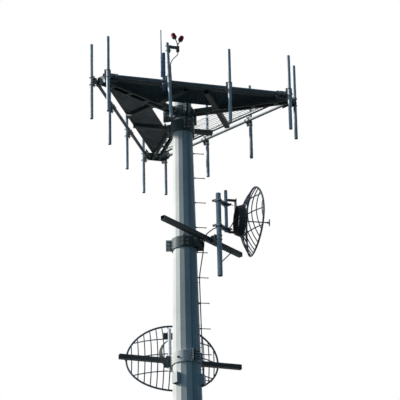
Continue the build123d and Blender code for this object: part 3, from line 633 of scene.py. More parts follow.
# Step pegs: lengths along the bar, and radii as shares of the bar's radius
PEG_REACH = 0.240
PEG_BUTTON = 0.014
PEG_BUTTON_EDGE = 0.004
BUTTON_RADIUS, BUTTON_FACE, LOCK_NUT_RADIUS = 1.75, 1.3, 1.7
LOCK_NUT_START, LOCK_NUT_DEPTH = 0.021, 0.010


class TOWER_OT_pegs(bpy.types.Operator):
    """Make the step pegs with their nuts and end buttons"""

    bl_idname = "tower.pegs"
    bl_label = "Step pegs"

    def execute(self, context):
        radius = sizes().peg_radius
        neck, button = PEG_REACH - PEG_BUTTON, radius * BUTTON_RADIUS
        profile = [(0.0, radius), (neck, radius), (neck, button), (PEG_REACH - PEG_BUTTON_EDGE, button)]
        profile.append((PEG_REACH, radius * BUTTON_FACE))
        lock_nut = radius * LOCK_NUT_RADIUS
        for side in ("side", "rear"):
            node = f"step_pegs_{side}"
            form = Form()
            for points in solids(node):
                root, tip = sorted(ends(points), key=lambda end: end.xy.length)
                out = (tip - root).normalized()
                form.lathe(root, out, profile, 16)
                form.nut(root, out, radius)
                form.lathe(root + out * LOCK_NUT_START, out, [(0, lock_nut), (LOCK_NUT_DEPTH, lock_nut)], 6)
            piece(form, f"step_pegs_round_{side}", "bar", "galvanised_bar", node)
        return {"FINISHED"}


# Clamps on the pole: reaches from its axis, rises from a ring's lower edge, and how far rods stand out

HALF_LUGS = 0.023
HEAD_UPPER_REACHES = (0.295, 0.380)
HEAD_LOWER_REACH = 0.308
HEAD_RISES = (0.050, 0.130, 0.210)
HEAD_UPPER_TAILS, HEAD_LOWER_TAILS = (0.030, 0.012), (0.045, 0.012)
SHOE_REACH, SHOE_HALF, SHOE_RISES = 0.302, 0.0975, (0.120, 0.165)


def lug_rods(form, angle, radial, ring, rises, tails):
    """Threaded rods through one pair of a ring clamp's lugs."""
    along = polar(1, angle + 90)
    for rise in rises:
        at = polar(radial, angle, ring + rise)
        form.bolt(at - along * HALF_LUGS, at + along * HALF_LUGS, sizes().clamp_rod, *tails)


class TOWER_OT_head(bpy.types.Operator):
    """Finish the pole head's rings and add their through rods"""

    bl_idname = "tower.head"
    bl_label = "Pole head clamps"

    def execute(self, context):
        dress("plate", "head_clamp_upper", "head_clamp_lower")
        form = Form()
        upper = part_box("head_clamp_upper")[0].z
        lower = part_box("head_clamp_lower")[0].z
        for angle in SIDES.values():
            for radial in HEAD_UPPER_REACHES:
                lug_rods(form, angle, radial, upper, HEAD_RISES, HEAD_UPPER_TAILS)
            lug_rods(form, angle, HEAD_LOWER_REACH, lower, HEAD_RISES, HEAD_LOWER_TAILS)
        for angle in CORNERS:
            out, along = ways(angle)
            for hand, rise in product(HANDS, SHOE_RISES):
                at = out * SHOE_REACH + along * (hand * SHOE_HALF) + UP * (upper + rise)
                form.nut(at, along * hand, sizes().clamp_rod)
        piece(form, "head_clamp_bolts", "bolt", "galvanised_bar")
        return {"FINISHED"}


# Platform

# Gratings: outer edge and gap at a corner's joint, edge band, rods, and the open mesh's bars
GRATING_OUTER = 1.1597
GRATING_JOINT = 0.024
GRATING_BAND = 0.005
ROD_WIDTH, TOP_ROD, LOW_ROD, ROD_DROP = 0.008, 0.006, 0.004, 0.004
SHORTEST_ROD = 0.05
MESH_BARS, MESH_BAR_SHARE = 3, 0.35

# Fastenings of the pipes: gap to a plate, and places along and up the pipes
PLATE_GAP = 0.0003
PIPE_RISES = (-0.085, 0.085)
FACE_SHIFTS = (-0.055, 0.055)
CORNER_PLACES = (-1.950, -1.840, 1.840, 1.950)
CORNER_PLATE = 0.014

# Bolts of the arms: battens between the pair, plates at the cross members, and the corner plates
BATTEN_COUNT, BATTEN_START, BATTEN_SPAN = 4, 0.330, 2.070
BATTEN_BOLTS = tuple(product((-0.028, 0.028), (-0.036, 0.036)))
CROSS_PLATE_REACH, CROSS_PLATE_SIDE, CROSS_PLATE_RISE = 0.800, 0.1015, 0.055
CROSS_PLATE, PLATE_CHAMFER = (0.170, 0.110, 0.008), 0.004
CROSS_PLATE_BOLTS = tuple(product((-0.070, 0.070), (-0.035, 0.035)))
CORNER_BOLT_REACH, CORNER_BOLT_SIDE, CORNER_BOLT_RISES = 2.414, 0.060, (0.030, 0.070)
ARM_BOLT, CORNER_BOLT, CLIP_BOLT = 0.008, 0.009, 0.005

# Clips that hold the gratings on the rails
CLIP_REACH, CLIP_PITCH, CLIPS_A_HAND = 1.1780, 0.330, 5
CLIP, CLIP_CHAMFER = (0.040, 0.060, 0.006), 0.002


class TOWER_OT_pipes(bpy.types.Operator):
    """Make the round mount pipes and face pipes"""

    bl_idname = "tower.pipes"
    bl_label = "Platform pipes"

    def execute(self, context):
        size = sizes()
        for side in SIDES:
            form = Form()
            for low, high in low_and_high(f"mount_pipes_{side}"):
                form.tube(low, high, size.mount_radius, size.pipe_wall)
            piece(form, f"mount_pipes_round_{side}", "tube", "galvanised_tube", f"mount_pipes_{side}")
        for side, angle in SIDES.items():
            out, along = ways(angle)
            form = Form()
            for points in solids("face_pipes"):
                if mean(points).dot(out) > 1:
                    form.tube(*ends(points), size.face_radius, size.pipe_wall)
            # The front and left face pipes take the shaded copy of the tube zinc: painted shade.
            coat = "tube" if side == "right" else "dull_tube"
            piece(form, f"face_pipe_round_{side}", coat, "galvanised_tube", "face_pipes")
        return {"FINISHED"}


class TOWER_OT_gratings(bpy.types.Operator):
    """Make the platform's gratings"""

    bl_idname = "tower.gratings"
    bl_label = "Gratings"

    def execute(self, context):
        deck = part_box("grating_front")
        out = polar(1, SIDES["right"])
        right_points = [point for points in solids("gratings_side") for point in points if point.x > 0.3]
        inner = min(out.dot(point) for point in right_points)
        low, high = deck[0].z, deck[1].z
        # The close gratings take painted shade, and the open right grating takes painted light.
        self.panel("front", -deck[1].y, low, high, "grating", "grating_front")
        self.panel("left", inner, low, high, "grating", "gratings_side")
        self.panel("right", inner, low, high, "mesh", "gratings_side", open_mesh=True)
        return {"FINISHED"}

    def panel(self, side, inner, bottom, top, coat, node, open_mesh=False):
        """Close bearing bars along the side, or a wide open mesh, with rods across them and banding
        round the edge."""
        form, size = Form(), sizes()
        out, along = ways(SIDES[side])
        depth = top - bottom
        middle = UP * ((bottom + top) / 2)
        slope = tan(radians(60))

        def half(distance):
            return distance * slope - GRATING_JOINT

        bars = MESH_BARS if open_mesh else int((GRATING_OUTER - inner) / size.bar_pitch)
        for i in range(bars + 1):
            distance = inner + i * (GRATING_OUTER - inner) / bars
            wide, deep, reach = size.bar_width, depth, 2 * (half(distance) - GRATING_BAND)
            if i in (0, bars):
                wide, reach = GRATING_BAND, 2 * half(distance)
            elif open_mesh:
                deep = depth * MESH_BAR_SHARE
            form.block(middle + out * distance, out, UP, (wide, deep, reach))
        for hand in HANDS:
            start = out * inner + along * (hand * half(inner))
            end = out * GRATING_OUTER + along * (hand * half(GRATING_OUTER))
            way = (end - start).normalized()
            band = (GRATING_BAND, depth, (end - start).length)
            form.block(middle + (start + end) / 2, way.cross(UP), UP, band)
        rods = int(half(GRATING_OUTER) / size.rod_pitch)
        for i in range(-rods, rods + 1):
            place = i * size.rod_pitch
            start = max(inner, (abs(place) + GRATING_JOINT) / slope)
            reach = GRATING_OUTER - start
            if reach < SHORTEST_ROD:
                continue
            centre = out * ((start + GRATING_OUTER) / 2) + along * place
            form.block(centre + UP * (top - ROD_DROP), UP, along, (ROD_WIDTH, TOP_ROD, reach))
            if not open_mesh:
                form.block(centre + UP * (bottom + ROD_DROP), UP, along, (ROD_WIDTH, LOW_ROD, reach))
        piece(form, f"grating_bars_{side}", coat, "grating_steel", node)


class TOWER_OT_platform(bpy.types.Operator):
    """Finish the platform's frame and add its U-bolts and bolts"""

    bl_idname = "tower.platform"
    bl_label = "Platform frame and fastenings"

    def execute(self, context):
        dress("platform", "arms", "cross_members", "inner_rails")
        dress("plate", "corner_plates", "clamp_plates")
        self.u_bolts()
        self.arm_bolts()
        self.clips()
        return {"FINISHED"}

    def u_bolts(self):
        size = sizes()
        rod = size.u_rod
        mount_back = size.mount_radius + PLATE_GAP + size.plate
        face_back = size.face_radius + PLATE_GAP + size.plate
        face_distance = MOUNT_DISTANCE - mount_back - PLATE_GAP - size.face_radius
        form = Form()
        for side, angle in SIDES.items():
            out, along = ways(angle)
            face = out * face_distance + UP * LEVEL
            for low, high in low_and_high(f"mount_pipes_{side}"):
                axis = (high - low).normalized()
                middle = (low + high) / 2
                for rise in PIPE_RISES:
                    form.u_bolt(middle + axis * rise, axis, out, size.mount_radius, rod, mount_back)
                for shift in FACE_SHIFTS:
                    at = face + along * (middle.dot(along) + shift)
                    form.u_bolt(at, along, -out, size.face_radius, rod, face_back)
            for place in CORNER_PLACES:
                back = size.face_radius + PLATE_GAP + CORNER_PLATE
                form.u_bolt(face + along * place, along, out, size.face_radius, rod, back)
        piece(form, "platform_u_bolts", "bolt", "galvanised_bar")

    def arm_bolts(self):
        form = Form()
        for angle in CORNERS:
            out, along = ways(angle)
            for i in range(BATTEN_COUNT):
                batten = out * (BATTEN_START + (i + 0.5) * BATTEN_SPAN / BATTEN_COUNT) + UP * ARM_LOW
                for reach, side in BATTEN_BOLTS:
                    form.nut(batten + out * reach + along * side, -UP, ARM_BOLT)
            for hand in HANDS:
                plate = out * CROSS_PLATE_REACH + along * (hand * CROSS_PLATE_SIDE)
                plate += UP * (ARM_LOW + CROSS_PLATE_RISE)
                form.block(plate, out, UP, CROSS_PLATE, PLATE_CHAMFER)
                face = plate + along * (hand * CROSS_PLATE[2] / 2)
                for reach, rise in CROSS_PLATE_BOLTS:
                    form.nut(face + out * reach + UP * rise, along * hand, ARM_BOLT)
                corner = out * CORNER_BOLT_REACH + along * (hand * CORNER_BOLT_SIDE)
                for rise in CORNER_BOLT_RISES:
                    form.nut(corner + UP * (ARM_LOW + rise), out, CORNER_BOLT)
        piece(form, "platform_bolts", "bolt", "galvanised_bar")

    def clips(self):
        form = Form()
        half = CLIP[2] / 2
        for angle in SIDES.values():
            out, along = ways(angle)
            for i in range(-CLIPS_A_HAND, CLIPS_A_HAND + 1):
                at = out * CLIP_REACH + along * (i * CLIP_PITCH) + UP * (RAIL_BOX[1].z + half)
                form.block(at, along, out, CLIP, CLIP_CHAMFER)
                form.nut(at + UP * half, UP, CLIP_BOLT)
        piece(form, "grating_clips", "bolt", "galvanised_plate")


# Obstruction light: outlines are distances along an axis, and radii

COLLAR = [(0, 0.038), (0.003, 0.043), (0.010, 0.043), (0.012, 0.046), (0.024, 0.046), (0.026, 0.044)]
LENS_FOOT = [(0.0262, 0.052), (0.030, 0.056)]
LENS_RIBS, RIB_STEP, RIB_DEPTH = 22, 0.0030, 0.0012
LENS_BASE, LENS_BASE_RADIUS, LENS_DRAFT = 0.030, 0.0555, 0.0065
DOME_BASE, DOME_RISE, DOME_RADIUS, DOME_FULLNESS, DOME_STEPS = 0.098, 0.042, 0.049, 0.8, 9
DOME_TIP = (0.140, 0.004)

LIGHT_BOX_WIDTH, LIGHT_BOX_HEIGHT, LIGHT_BOX_CHAMFER = 0.062, 0.130, 0.006
LIGHT_BOX_SEAMS, LIGHT_BOX_SEAM = (0.022, 0.118), 0.006
LIGHT_BOX_SCREWS, LIGHT_BOX_SCREW = tuple(product((-0.022, 0.022), (0.020, 0.108))), 0.003
BOX_COLLAR = [(0, 0.024), (0.008, 0.022), (0.010, 0.012)]
STEM_HEIGHT, STEM_RADIUS, STEM_SOCKET_DROP = 0.060, 0.012, 0.022
FORK_RADIUS, FORK_DROP, FORK_BEND, FORK_BEND_DROP, LAMP_SOCKET_DROP = 0.011, 0.010, 0.030, 0.034, 0.016
STEM_SOCKET = [(0, 0.016), (0.004, 0.019), (0.024, 0.019), (0.028, 0.014)]
LAMP_SOCKET = [(0, 0.015), (0.003, 0.019), (0.016, 0.019)]
CONDUIT_NUT = [(0, 0.013), (0.004, 0.016), (0.018, 0.016), (0.0215, 0.013)]
CONDUIT_NUT_GAP, CONDUIT_GAP, CONDUIT_DROP = 0.0005, 0.001, 0.070
CONDUIT_RISES, CONDUIT_BEND = (0.445, 0.070), 0.11
CONDUIT_BAND_RISES = (0.12, 0.30, 0.41)
CONDUIT_BAND_RADIUS, CONDUIT_BULGE, BULGE_SHARE = 0.040, 0.021, 0.75
BRACKET_RISES, BRACKET_ROD, BRACKET_BACK = (-0.135, -0.020), 0.005, 0.057
LEAST_LEAN = 0.01


class TOWER_OT_light(bpy.types.Operator):
    """Make the obstruction light: box, fork, lamps and conduit"""

    bl_idname = "tower.light"
    bl_label = "Obstruction light"

    def execute(self, context):
        dress("housing", "light_bracket")
        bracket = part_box("light_bracket")
        feet = self.lamps()
        pipe_y = (bracket[0].y + bracket[1].y) / 2
        centre = Vector((mean([foot for foot, way in feet]).x, pipe_y, bracket[1].z))
        self.housing(centre, feet)
        pipes = low_and_high("mount_pipes_front")
        low, high = [pair for pair in pipes if abs(pair[0].x - pair[1].x) > LEAST_LEAN][-1]
        self.run_conduit(centre - UP * (LIGHT_BOX_HEIGHT + PLATE_GAP), low, high)
        self.straps(bracket[1].z, low, high)
        return {"FINISHED"}

    def lamps(self):
        """Make the lenses and collars, and return each lamp's foot and direction."""
        lenses, collars, feet = Form(), Form(), []
        glass = list(LENS_FOOT)
        for i in range(LENS_RIBS + 1):
            radius = LENS_BASE_RADIUS - LENS_DRAFT * i / LENS_RIBS - (RIB_DEPTH if i % 2 else 0.0)
            glass.append((LENS_BASE + RIB_STEP * i, radius))
        for i in range(DOME_STEPS):
            t = pi / 2 * i / DOME_STEPS
            glass.append((DOME_BASE + DOME_RISE * sin(t), DOME_RADIUS * cos(t) ** DOME_FULLNESS))
        glass.append(DOME_TIP)
        for points in solids("light_domes"):
            low, high = sorted(ends(points), key=lambda end: end.z)
            way = (high - low).normalized()
            base = low + way * min((point - low).dot(way) for point in points)
            feet.append((base, way))
            collars.lathe(base, way, COLLAR, 40)
            lenses.lathe(base, way, glass, 48)
        piece(lenses, "light_lenses", "lens", "red_lens", "light_domes")
        piece(collars, "light_collars", "housing", "light_housing")
        return feet

    def housing(self, top, feet):
        """Box below its top's middle, and the fork that carries the lamps."""
        form = Form()
        width, height = LIGHT_BOX_WIDTH, LIGHT_BOX_HEIGHT
        seam = (width + LIGHT_BOX_SEAM, width + LIGHT_BOX_SEAM, LIGHT_BOX_SEAM)
        form.block(top - UP * (height / 2), RIGHT, BACK, (width, width, height), LIGHT_BOX_CHAMFER)
        for drop in LIGHT_BOX_SEAMS:
            form.block(top - UP * drop, RIGHT, BACK, seam, LIGHT_BOX_CHAMFER)
        form.lathe(top, UP, BOX_COLLAR)
        stem = top + UP * STEM_HEIGHT
        form.rod(top, stem, STEM_RADIUS, 20)
        form.lathe(stem - UP * STEM_SOCKET_DROP, UP, STEM_SOCKET, 20)
        for base, way in feet:
            path = rounded([stem - UP * FORK_DROP, base - way * FORK_BEND_DROP, base], FORK_BEND, 8)
            form.sweep(path, FORK_RADIUS, 16)
            form.lathe(base - way * LAMP_SOCKET_DROP, way, LAMP_SOCKET, 20)
        for side, drop in LIGHT_BOX_SCREWS:
            form.nut(top + RIGHT * side - BACK * (width / 2) - UP * drop, -BACK, LIGHT_BOX_SCREW)
        piece(form, "light_housing_box", "housing", "light_housing", "light_box")

    def beside(self, low, high, level, reach=0.0):
        """Place beside the leaning mount pipe at a level."""
        slope = (high.x - low.x) / (high.z - low.z)
        return Vector((low.x + (level - low.z) * slope + reach, low.y, level))

    def run_conduit(self, start, low, high):
        size, form = sizes(), Form()
        reach = size.mount_radius + size.conduit_radius + CONDUIT_GAP
        route = [start, start - UP * CONDUIT_DROP]
        route += [self.beside(low, high, LEVEL + rise, reach) for rise in CONDUIT_RISES]
        form.sweep(rounded(route, CONDUIT_BEND, 12), size.conduit_radius, 16)
        form.lathe(start - UP * (CONDUIT_NUT[-1][0] + CONDUIT_NUT_GAP), UP, CONDUIT_NUT, 6)
        piece(form, "light_conduit_smooth", "conduit", "conduit", "light_conduit")

    def straps(self, top, low, high):
        """Bands round the pipe and conduit, and U-bolts at the bracket."""
        form = Form()
        for rise in CONDUIT_BAND_RISES:
            centre = self.beside(low, high, LEVEL + rise)
            path = []
            for t in full_turn(24):
                wide = CONDUIT_BAND_RADIUS + (CONDUIT_BULGE if cos(t) > BULGE_SHARE else 0.0)
                path.append(centre + RIGHT * (cos(t) * wide) + BACK * (sin(t) * CONDUIT_BAND_RADIUS))
            form.band(path)
        lean = (high - low).normalized()
        for rise in BRACKET_RISES:
            at = self.beside(low, high, top + rise)
            form.u_bolt(at, lean, -RIGHT, sizes().mount_radius, BRACKET_ROD, BRACKET_BACK)
        piece(form, "light_bands", "bolt", "galvanised_bar")


# Whip antenna

WHIP_FOOT = [(0.0, 0.0100), (0.006, 0.0150), (0.020, 0.0150), (0.022, 0.0180), (0.150, 0.0180)]
WHIP_FERRULE = [(0.156, 0.0165), (0.40, 0.0160), (0.41, 0.0150)]
WHIP_TIP = [(-0.030, 0.0115), (-0.026, 0.0125), (-0.006, 0.0120), (0.0, 0.0060)]
WHIP_BAND_RISES = (0.060, 0.120, 0.470)
WHIP_BAND_RADIUS, WHIP_PIPE_BAND_RADIUS = 0.021, 0.0395
WHIP_PIPE_RADIUS, WHIP_PIPE_BACK, RAIL_CLEARANCE = 0.0365, 0.1075, 0.011
WHIP_PLATE, WHIP_PLATE_REACH = (0.130, 0.120, 0.010), 0.1020


class TOWER_OT_whip(bpy.types.Operator):
    """Make the whip antenna and hold it to its pipe"""

    bl_idname = "tower.whip"
    bl_label = "Whip antenna"

    def execute(self, context):
        dress("whip_pipe", "whip_pipe")
        low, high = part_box("whip_antenna")
        foot = Vector(((low.x + high.x) / 2, (low.y + high.y) / 2, low.z))
        reach = high.z - low.z
        form = Form()
        tip = [(reach + along, radius) for along, radius in WHIP_TIP]
        form.lathe(foot, UP, WHIP_FOOT + WHIP_FERRULE + tip, 32)
        piece(form, "whip_radome", "whip", "whip_plastic", "whip_antenna")

        pipe_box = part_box("whip_pipe")
        pipe = Vector(((pipe_box[0].x + pipe_box[1].x) / 2, foot.y, 0))
        form = Form()
        half_turn = [-pi / 2 + pi * i / 12 for i in range(13)]
        for rise in WHIP_BAND_RISES:
            level = foot.z + rise
            at_pipe, at_whip = pipe + UP * level, Vector((foot.x, foot.y, level))
            path = [at_pipe + polar(WHIP_PIPE_BAND_RADIUS, degrees(t)) for t in half_turn]
            path += [at_whip + polar(WHIP_BAND_RADIUS, degrees(t + pi)) for t in half_turn]
            form.band(path)
        for level in (RAIL_BOX[0].z - RAIL_CLEARANCE, RAIL_BOX[1].z + RAIL_CLEARANCE):
            form.u_bolt(pipe + UP * level, UP, -BACK, WHIP_PIPE_RADIUS, sizes().u_rod, WHIP_PIPE_BACK)
        rail_middle = UP * ((RAIL_BOX[0].z + RAIL_BOX[1].z) / 2)
        form.block(pipe + BACK * WHIP_PLATE_REACH + rail_middle, RIGHT, UP, WHIP_PLATE, 0.006)
        piece(form, "whip_bands", "bolt", "galvanised_bar")
        return {"FINISHED"}


# Dish mounts

MIDDLE_LUG_ANGLES = (-15, 75, 165, 255)
MIDDLE_LUG_REACHES = (0.318, 0.372)
MIDDLE_LUG_RISES = (0.045, 0.125, 0.205)
MIDDLE_TAILS, LOWER_TAILS = (0.045, 0.015), (0.110, 0.015)
LOWER_LUG_ANGLES = (-84, 36, 156)
LOWER_LUG_REACH = 0.385
LOWER_LUG_RISES = (0.038, 0.096, 0.154, 0.212)
RING_BOLT_REACH, RING_BOLT_ANGLE, RING_BOLT_RISE, RING_BOLT = 0.3290, -138.4, 0.110, 0.012

MIDDLE_BEAM_ANGLE, LOWER_BEAM_ANGLE = 36.7, 182.1
MAST_RADIUS, LOWER_PIPE_RADIUS = 0.057, 0.0365
MAST_SPREAD, LOWER_SPREAD, SADDLE_RISES = 0.065, 0.056, (-0.045, 0.045)
EAR_START, EAR_INSET, EAR_THICKNESS, EAR_HEIGHT = 0.045, 0.020, 0.010, 0.150
EAR_BEHIND_PIPE = 0.0063

LINK_BEHIND_MAST, LINK_AHEAD_OF_PIPE = 0.0713, 0.0508
LINK_PLATE_DEPTH, LINK_PLATE_HEIGHT = 0.010, 0.054
MAST_LINK_WIDTH, PIPE_LINK_WIDTH, LINK_ROD_SIDE, LINK_ROD = 0.220, 0.200, 0.084, 0.008
LINK_TAILS = (0.075, 0.030)
SMALL_CHAMFER = 0.002

BRACE_END = [(0, 0.019), (0.012, 0.019), (0.03, 0.013)]


class TOWER_OT_mounts(bpy.types.Operator):
    """Finish both dish mounts and add their rods, U-bolts, strut and braces"""

    bl_idname = "tower.mounts"
    bl_label = "Dish mounts"

    def execute(self, context):
        # The middle ring's far lug takes painted light, and the lower ring's lugs take painted shade.
        dress("middle_ring", "middle_clamp")
        dress("plate", "mast_saddle", "lower_saddle", "pipe_links")
        dress("lower_ring", "lower_clamp")
        dress("bar", "middle_beam", "lower_beam", "middle_hoop_arms", "lower_hoop_arms")
        dress("tube", "dish_mast", "middle_dish_pipe", "lower_dish_pipe")

        form = Form()
        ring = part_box("middle_clamp")[0].z
        for angle, radial in product(MIDDLE_LUG_ANGLES, MIDDLE_LUG_REACHES):
            lug_rods(form, angle, radial, ring, MIDDLE_LUG_RISES, MIDDLE_TAILS)
        piece(form, "middle_clamp_rods", "bolt", "galvanised_bar")

        form = Form()
        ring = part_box("lower_clamp")[0].z
        for angle in LOWER_LUG_ANGLES:
            lug_rods(form, angle, LOWER_LUG_REACH, ring, LOWER_LUG_RISES, LOWER_TAILS)
        at = polar(RING_BOLT_REACH, RING_BOLT_ANGLE, ring + RING_BOLT_RISE)
        form.nut(at, polar(1, RING_BOLT_ANGLE), RING_BOLT)
        # The lower clamp's rods take the dark beam zinc, which is painted shade.
        piece(form, "lower_clamp_rods", "bar", "galvanised_bar")

        form = Form()
        self.saddle_bolts(form, "dish_mast", "mast_saddle", MIDDLE_BEAM_ANGLE, MAST_RADIUS, MAST_SPREAD)
        lower = (LOWER_BEAM_ANGLE, LOWER_PIPE_RADIUS, LOWER_SPREAD)
        self.saddle_bolts(form, "lower_dish_pipe", "lower_saddle", *lower)
        self.link_kits(form)
        piece(form, "mount_clamp_bolts", "bolt", "galvanised_bar")

        for node in ("mast_strut", "lower_braces"):
            form = Form()
            for points in solids(node):
                start, end = ends(points)
                form.rod(start, end, sizes().brace_radius, 20)
                for at, inward in ((start, end - start), (end, start - end)):
                    form.lathe(at, inward, BRACE_END, 20)
            piece(form, f"{node}_round", "bar", "galvanised_bar", node)
        return {"FINISHED"}

    def saddle_bolts(self, form, pipe, block, beam_angle, radius, spread):
        """Ears on the saddle, and two U-bolts round the pipe."""
        rod = sizes().u_rod
        low, high = low_and_high(pipe)[0]
        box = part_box(block)
        at = Vector((low.x, low.y, (box[0].z + box[1].z) / 2))
        out, along = polar(1, beam_angle - 90), polar(1, beam_angle)
        wide = max(spread, radius + rod)
        ear = (wide - EAR_INSET, EAR_THICKNESS, EAR_HEIGHT)
        behind = at - out * (radius + EAR_BEHIND_PIPE)
        for hand in HANDS:
            form.block(behind + along * (hand * (EAR_START + ear[0] / 2)), along, out, ear, SMALL_CHAMFER)
        back = radius + EAR_BEHIND_PIPE + EAR_THICKNESS / 2
        for rise in SADDLE_RISES:
            form.u_bolt(at + UP * rise, UP, out, radius, rod, back, wide)

    def link_kits(self, form):
        """Clamp plates and long rods that draw the dish pipe to the mast."""
        mast, pipe = (low_and_high(node)[0][0] for node in ("dish_mast", "middle_dish_pipe"))
        way = Vector((pipe.x - mast.x, pipe.y - mast.y, 0)).normalized()
        side = UP.cross(way)
        half = way * (LINK_PLATE_DEPTH / 2)
        for points in solids("pipe_links"):
            level = (min(p.z for p in points) + max(p.z for p in points)) / 2
            near = Vector((mast.x, mast.y, level)) - way * LINK_BEHIND_MAST
            far = Vector((pipe.x, pipe.y, level)) + way * LINK_AHEAD_OF_PIPE
            for middle, width in ((near - half, MAST_LINK_WIDTH), (far + half, PIPE_LINK_WIDTH)):
                form.block(middle, side, way, (width, LINK_PLATE_DEPTH, LINK_PLATE_HEIGHT), SMALL_CHAMFER)
            for hand in HANDS:
                across = side * (hand * LINK_ROD_SIDE)
                form.bolt(near + across - half * 2, far + across + half * 2, LINK_ROD, *LINK_TAILS)


# Dishes

DISH_FOCUS = 0.500
FRAME_RIM_RADIUS = 0.017
FEED_SEAT = 0.01046
RIB_SPACING, RIB_MARGIN = 0.130, 0.034
LEVEL_BARS = (-0.370, 0.0, 0.370)
RIM_STEPS, RIB_STEPS, BAR_STEPS = 96, 28, 36
STUD_COUNT, STUD_RADIUS, STUD, STUD_SETBACK = 28, 0.3585, 0.0055, 0.022

# Hoop: outlines from its back edge, and from its front edge
HOOP_BACK = [(0.0, 0.316), (0.0, 0.322), (0.006, 0.3245)]
HOOP_FRONT = [(-0.010, 0.362), (-0.004, 0.3665), (0.0, 0.3650), (0.0, 0.3575), (-0.012, 0.3560)]
HOOP_INSIDE = [(0.008, 0.3180)]

FEED_FOOT = [(0, 0.045), (0.010, 0.045), (0.014, 0.041), (0.020, 0.022), (0.050, 0.016)]
FEED_HORN = [(0, 0.016), (0.006, 0.021), (0.055, 0.021)]
FEED_HEAD = (0.075, 0.150, 0.012)
HORN_SETBACK, HEAD_CHAMFER, HEAD_SCREW_RISES, HEAD_SCREW = 0.060, 0.010, (-0.048, 0.048), 0.004
FOOT_SCREW_REACH, FOOT_SCREW_RADIUS, FOOT_SCREW = 0.012, 0.034, 0.0035
BOOM_START, BOOM_SETBACK, BOOM_POINT = 0.04, 0.014, 0.001


class Dish:
    """Axes of one dish, read from its hoop, grid and feed boom."""

    def __init__(self, name):
        points = solids(f"{name}_dish_feed")[0]
        hoop = solids(f"{name}_dish_hoop")[0]
        start, end = sorted(ends(points), key=lambda place: (mean(hoop) - place).length)
        self.name = name
        self.out = (end - start).normalized()
        self.side = UP.cross(self.out).normalized()
        along = [(point - start).dot(self.out) for point in points]
        self.reach = max(along) - min(along)
        self.vertex = start + self.out * (min(along) - FEED_SEAT)
        grid = solids(f"{name}_dish_grid")[0]
        self.half_width = max(abs((point - self.vertex).dot(self.side)) for point in grid) - FRAME_RIM_RADIUS
        self.half_height = max(abs(point.z - self.vertex.z) for point in grid) - FRAME_RIM_RADIUS
        band = [(point - self.vertex).dot(self.out) for point in hoop]
        self.hoop_back, self.hoop_front = min(band), max(band)

    def at(self, across, rise):
        """Point on the bowl."""
        depth = (across**2 + rise**2) / (4 * DISH_FOCUS)
        return self.vertex + self.out * depth + self.side * across + UP * rise

    def ray(self, turn):
        return self.side * cos(turn) + UP * sin(turn)


class TOWER_OT_dishes(bpy.types.Operator):
    """Make both grid dishes with their hoops and feeds"""

    bl_idname = "tower.dishes"
    bl_label = "Grid dishes"

    def execute(self, context):
        for name in ("middle", "lower"):
            dish = Dish(name)
            self.grid(dish)
            self.hoop(dish)
            self.feed(dish)
        return {"FINISHED"}

    def grid(self, dish):
        size, form = sizes(), Form()
        wide, high = dish.half_width, dish.half_height
        rim = [dish.at(wide * cos(t), high * sin(t)) for t in full_turn(RIM_STEPS)]
        form.sweep(rim, size.rim_radius, 14, closed=True, reference=dish.out)
        ribs = int((wide - RIB_MARGIN) / RIB_SPACING)
        for i in range(-ribs, ribs + 1):
            across = i * RIB_SPACING
            half = high * sqrt(1 - (across / wide) ** 2)
            path = [dish.at(across, half * (2 * j / RIB_STEPS - 1)) for j in range(RIB_STEPS + 1)]
            form.sweep(path, size.rib_radius, 8, reference=dish.side)
        for rise in LEVEL_BARS:
            half = wide * sqrt(1 - (rise / high) ** 2)
            path = [dish.at(half * (2 * j / BAR_STEPS - 1), rise) for j in range(BAR_STEPS + 1)]
            form.sweep(path, size.cross_radius, 8, reference=UP)
        piece(form, f"{dish.name}_dish_wire", "wire", "dish_wire", f"{dish.name}_dish_grid")

    def hoop(self, dish):
        form = Form()
        base = dish.vertex + dish.out * dish.hoop_back
        depth = dish.hoop_front - dish.hoop_back
        front = [(depth + along, radius) for along, radius in HOOP_FRONT]
        form.lathe(base, dish.out, HOOP_BACK + front + HOOP_INSIDE, 72, across=dish.side, closed=True)
        piece(form, f"{dish.name}_dish_band", "hoop", "hoop_steel", f"{dish.name}_dish_hoop")
        form = Form()
        for t in full_turn(STUD_COUNT, 0.5):
            at = base + dish.out * (depth - STUD_SETBACK) + dish.ray(t) * STUD_RADIUS
            form.nut(at, dish.ray(t), STUD)
        piece(form, f"{dish.name}_dish_studs", "bolt", "galvanised_bar")

    def feed(self, dish):
        form, out = Form(), dish.out
        radius, stop = sizes().boom_radius, dish.reach - BOOM_SETBACK
        base = dish.vertex + out * FEED_SEAT
        form.lathe(base, out, FEED_FOOT, 32)
        boom = [(BOOM_START, BOOM_POINT), (BOOM_START + BOOM_POINT, radius)]
        boom += [(stop, radius), (stop + BOOM_POINT, BOOM_POINT)]
        form.lathe(base, out, boom)
        head = base + out * (dish.reach - FEED_HEAD[2] / 2)
        form.block(head, dish.side, UP, FEED_HEAD, HEAD_CHAMFER)
        form.lathe(head - out * HORN_SETBACK, out, FEED_HORN)
        for rise in HEAD_SCREW_RISES:
            form.nut(head - out * (FEED_HEAD[2] / 2) + UP * rise, -out, HEAD_SCREW)
        for t in full_turn(4, 0.5):
            form.nut(base + out * FOOT_SCREW_REACH + dish.ray(t) * FOOT_SCREW_RADIUS, out, FOOT_SCREW)
        piece(form, f"{dish.name}_feed_boom", "feed", "feed_metal", f"{dish.name}_dish_feed")


# Coax: its bends are chosen one by one, between the dish and the run down the pole

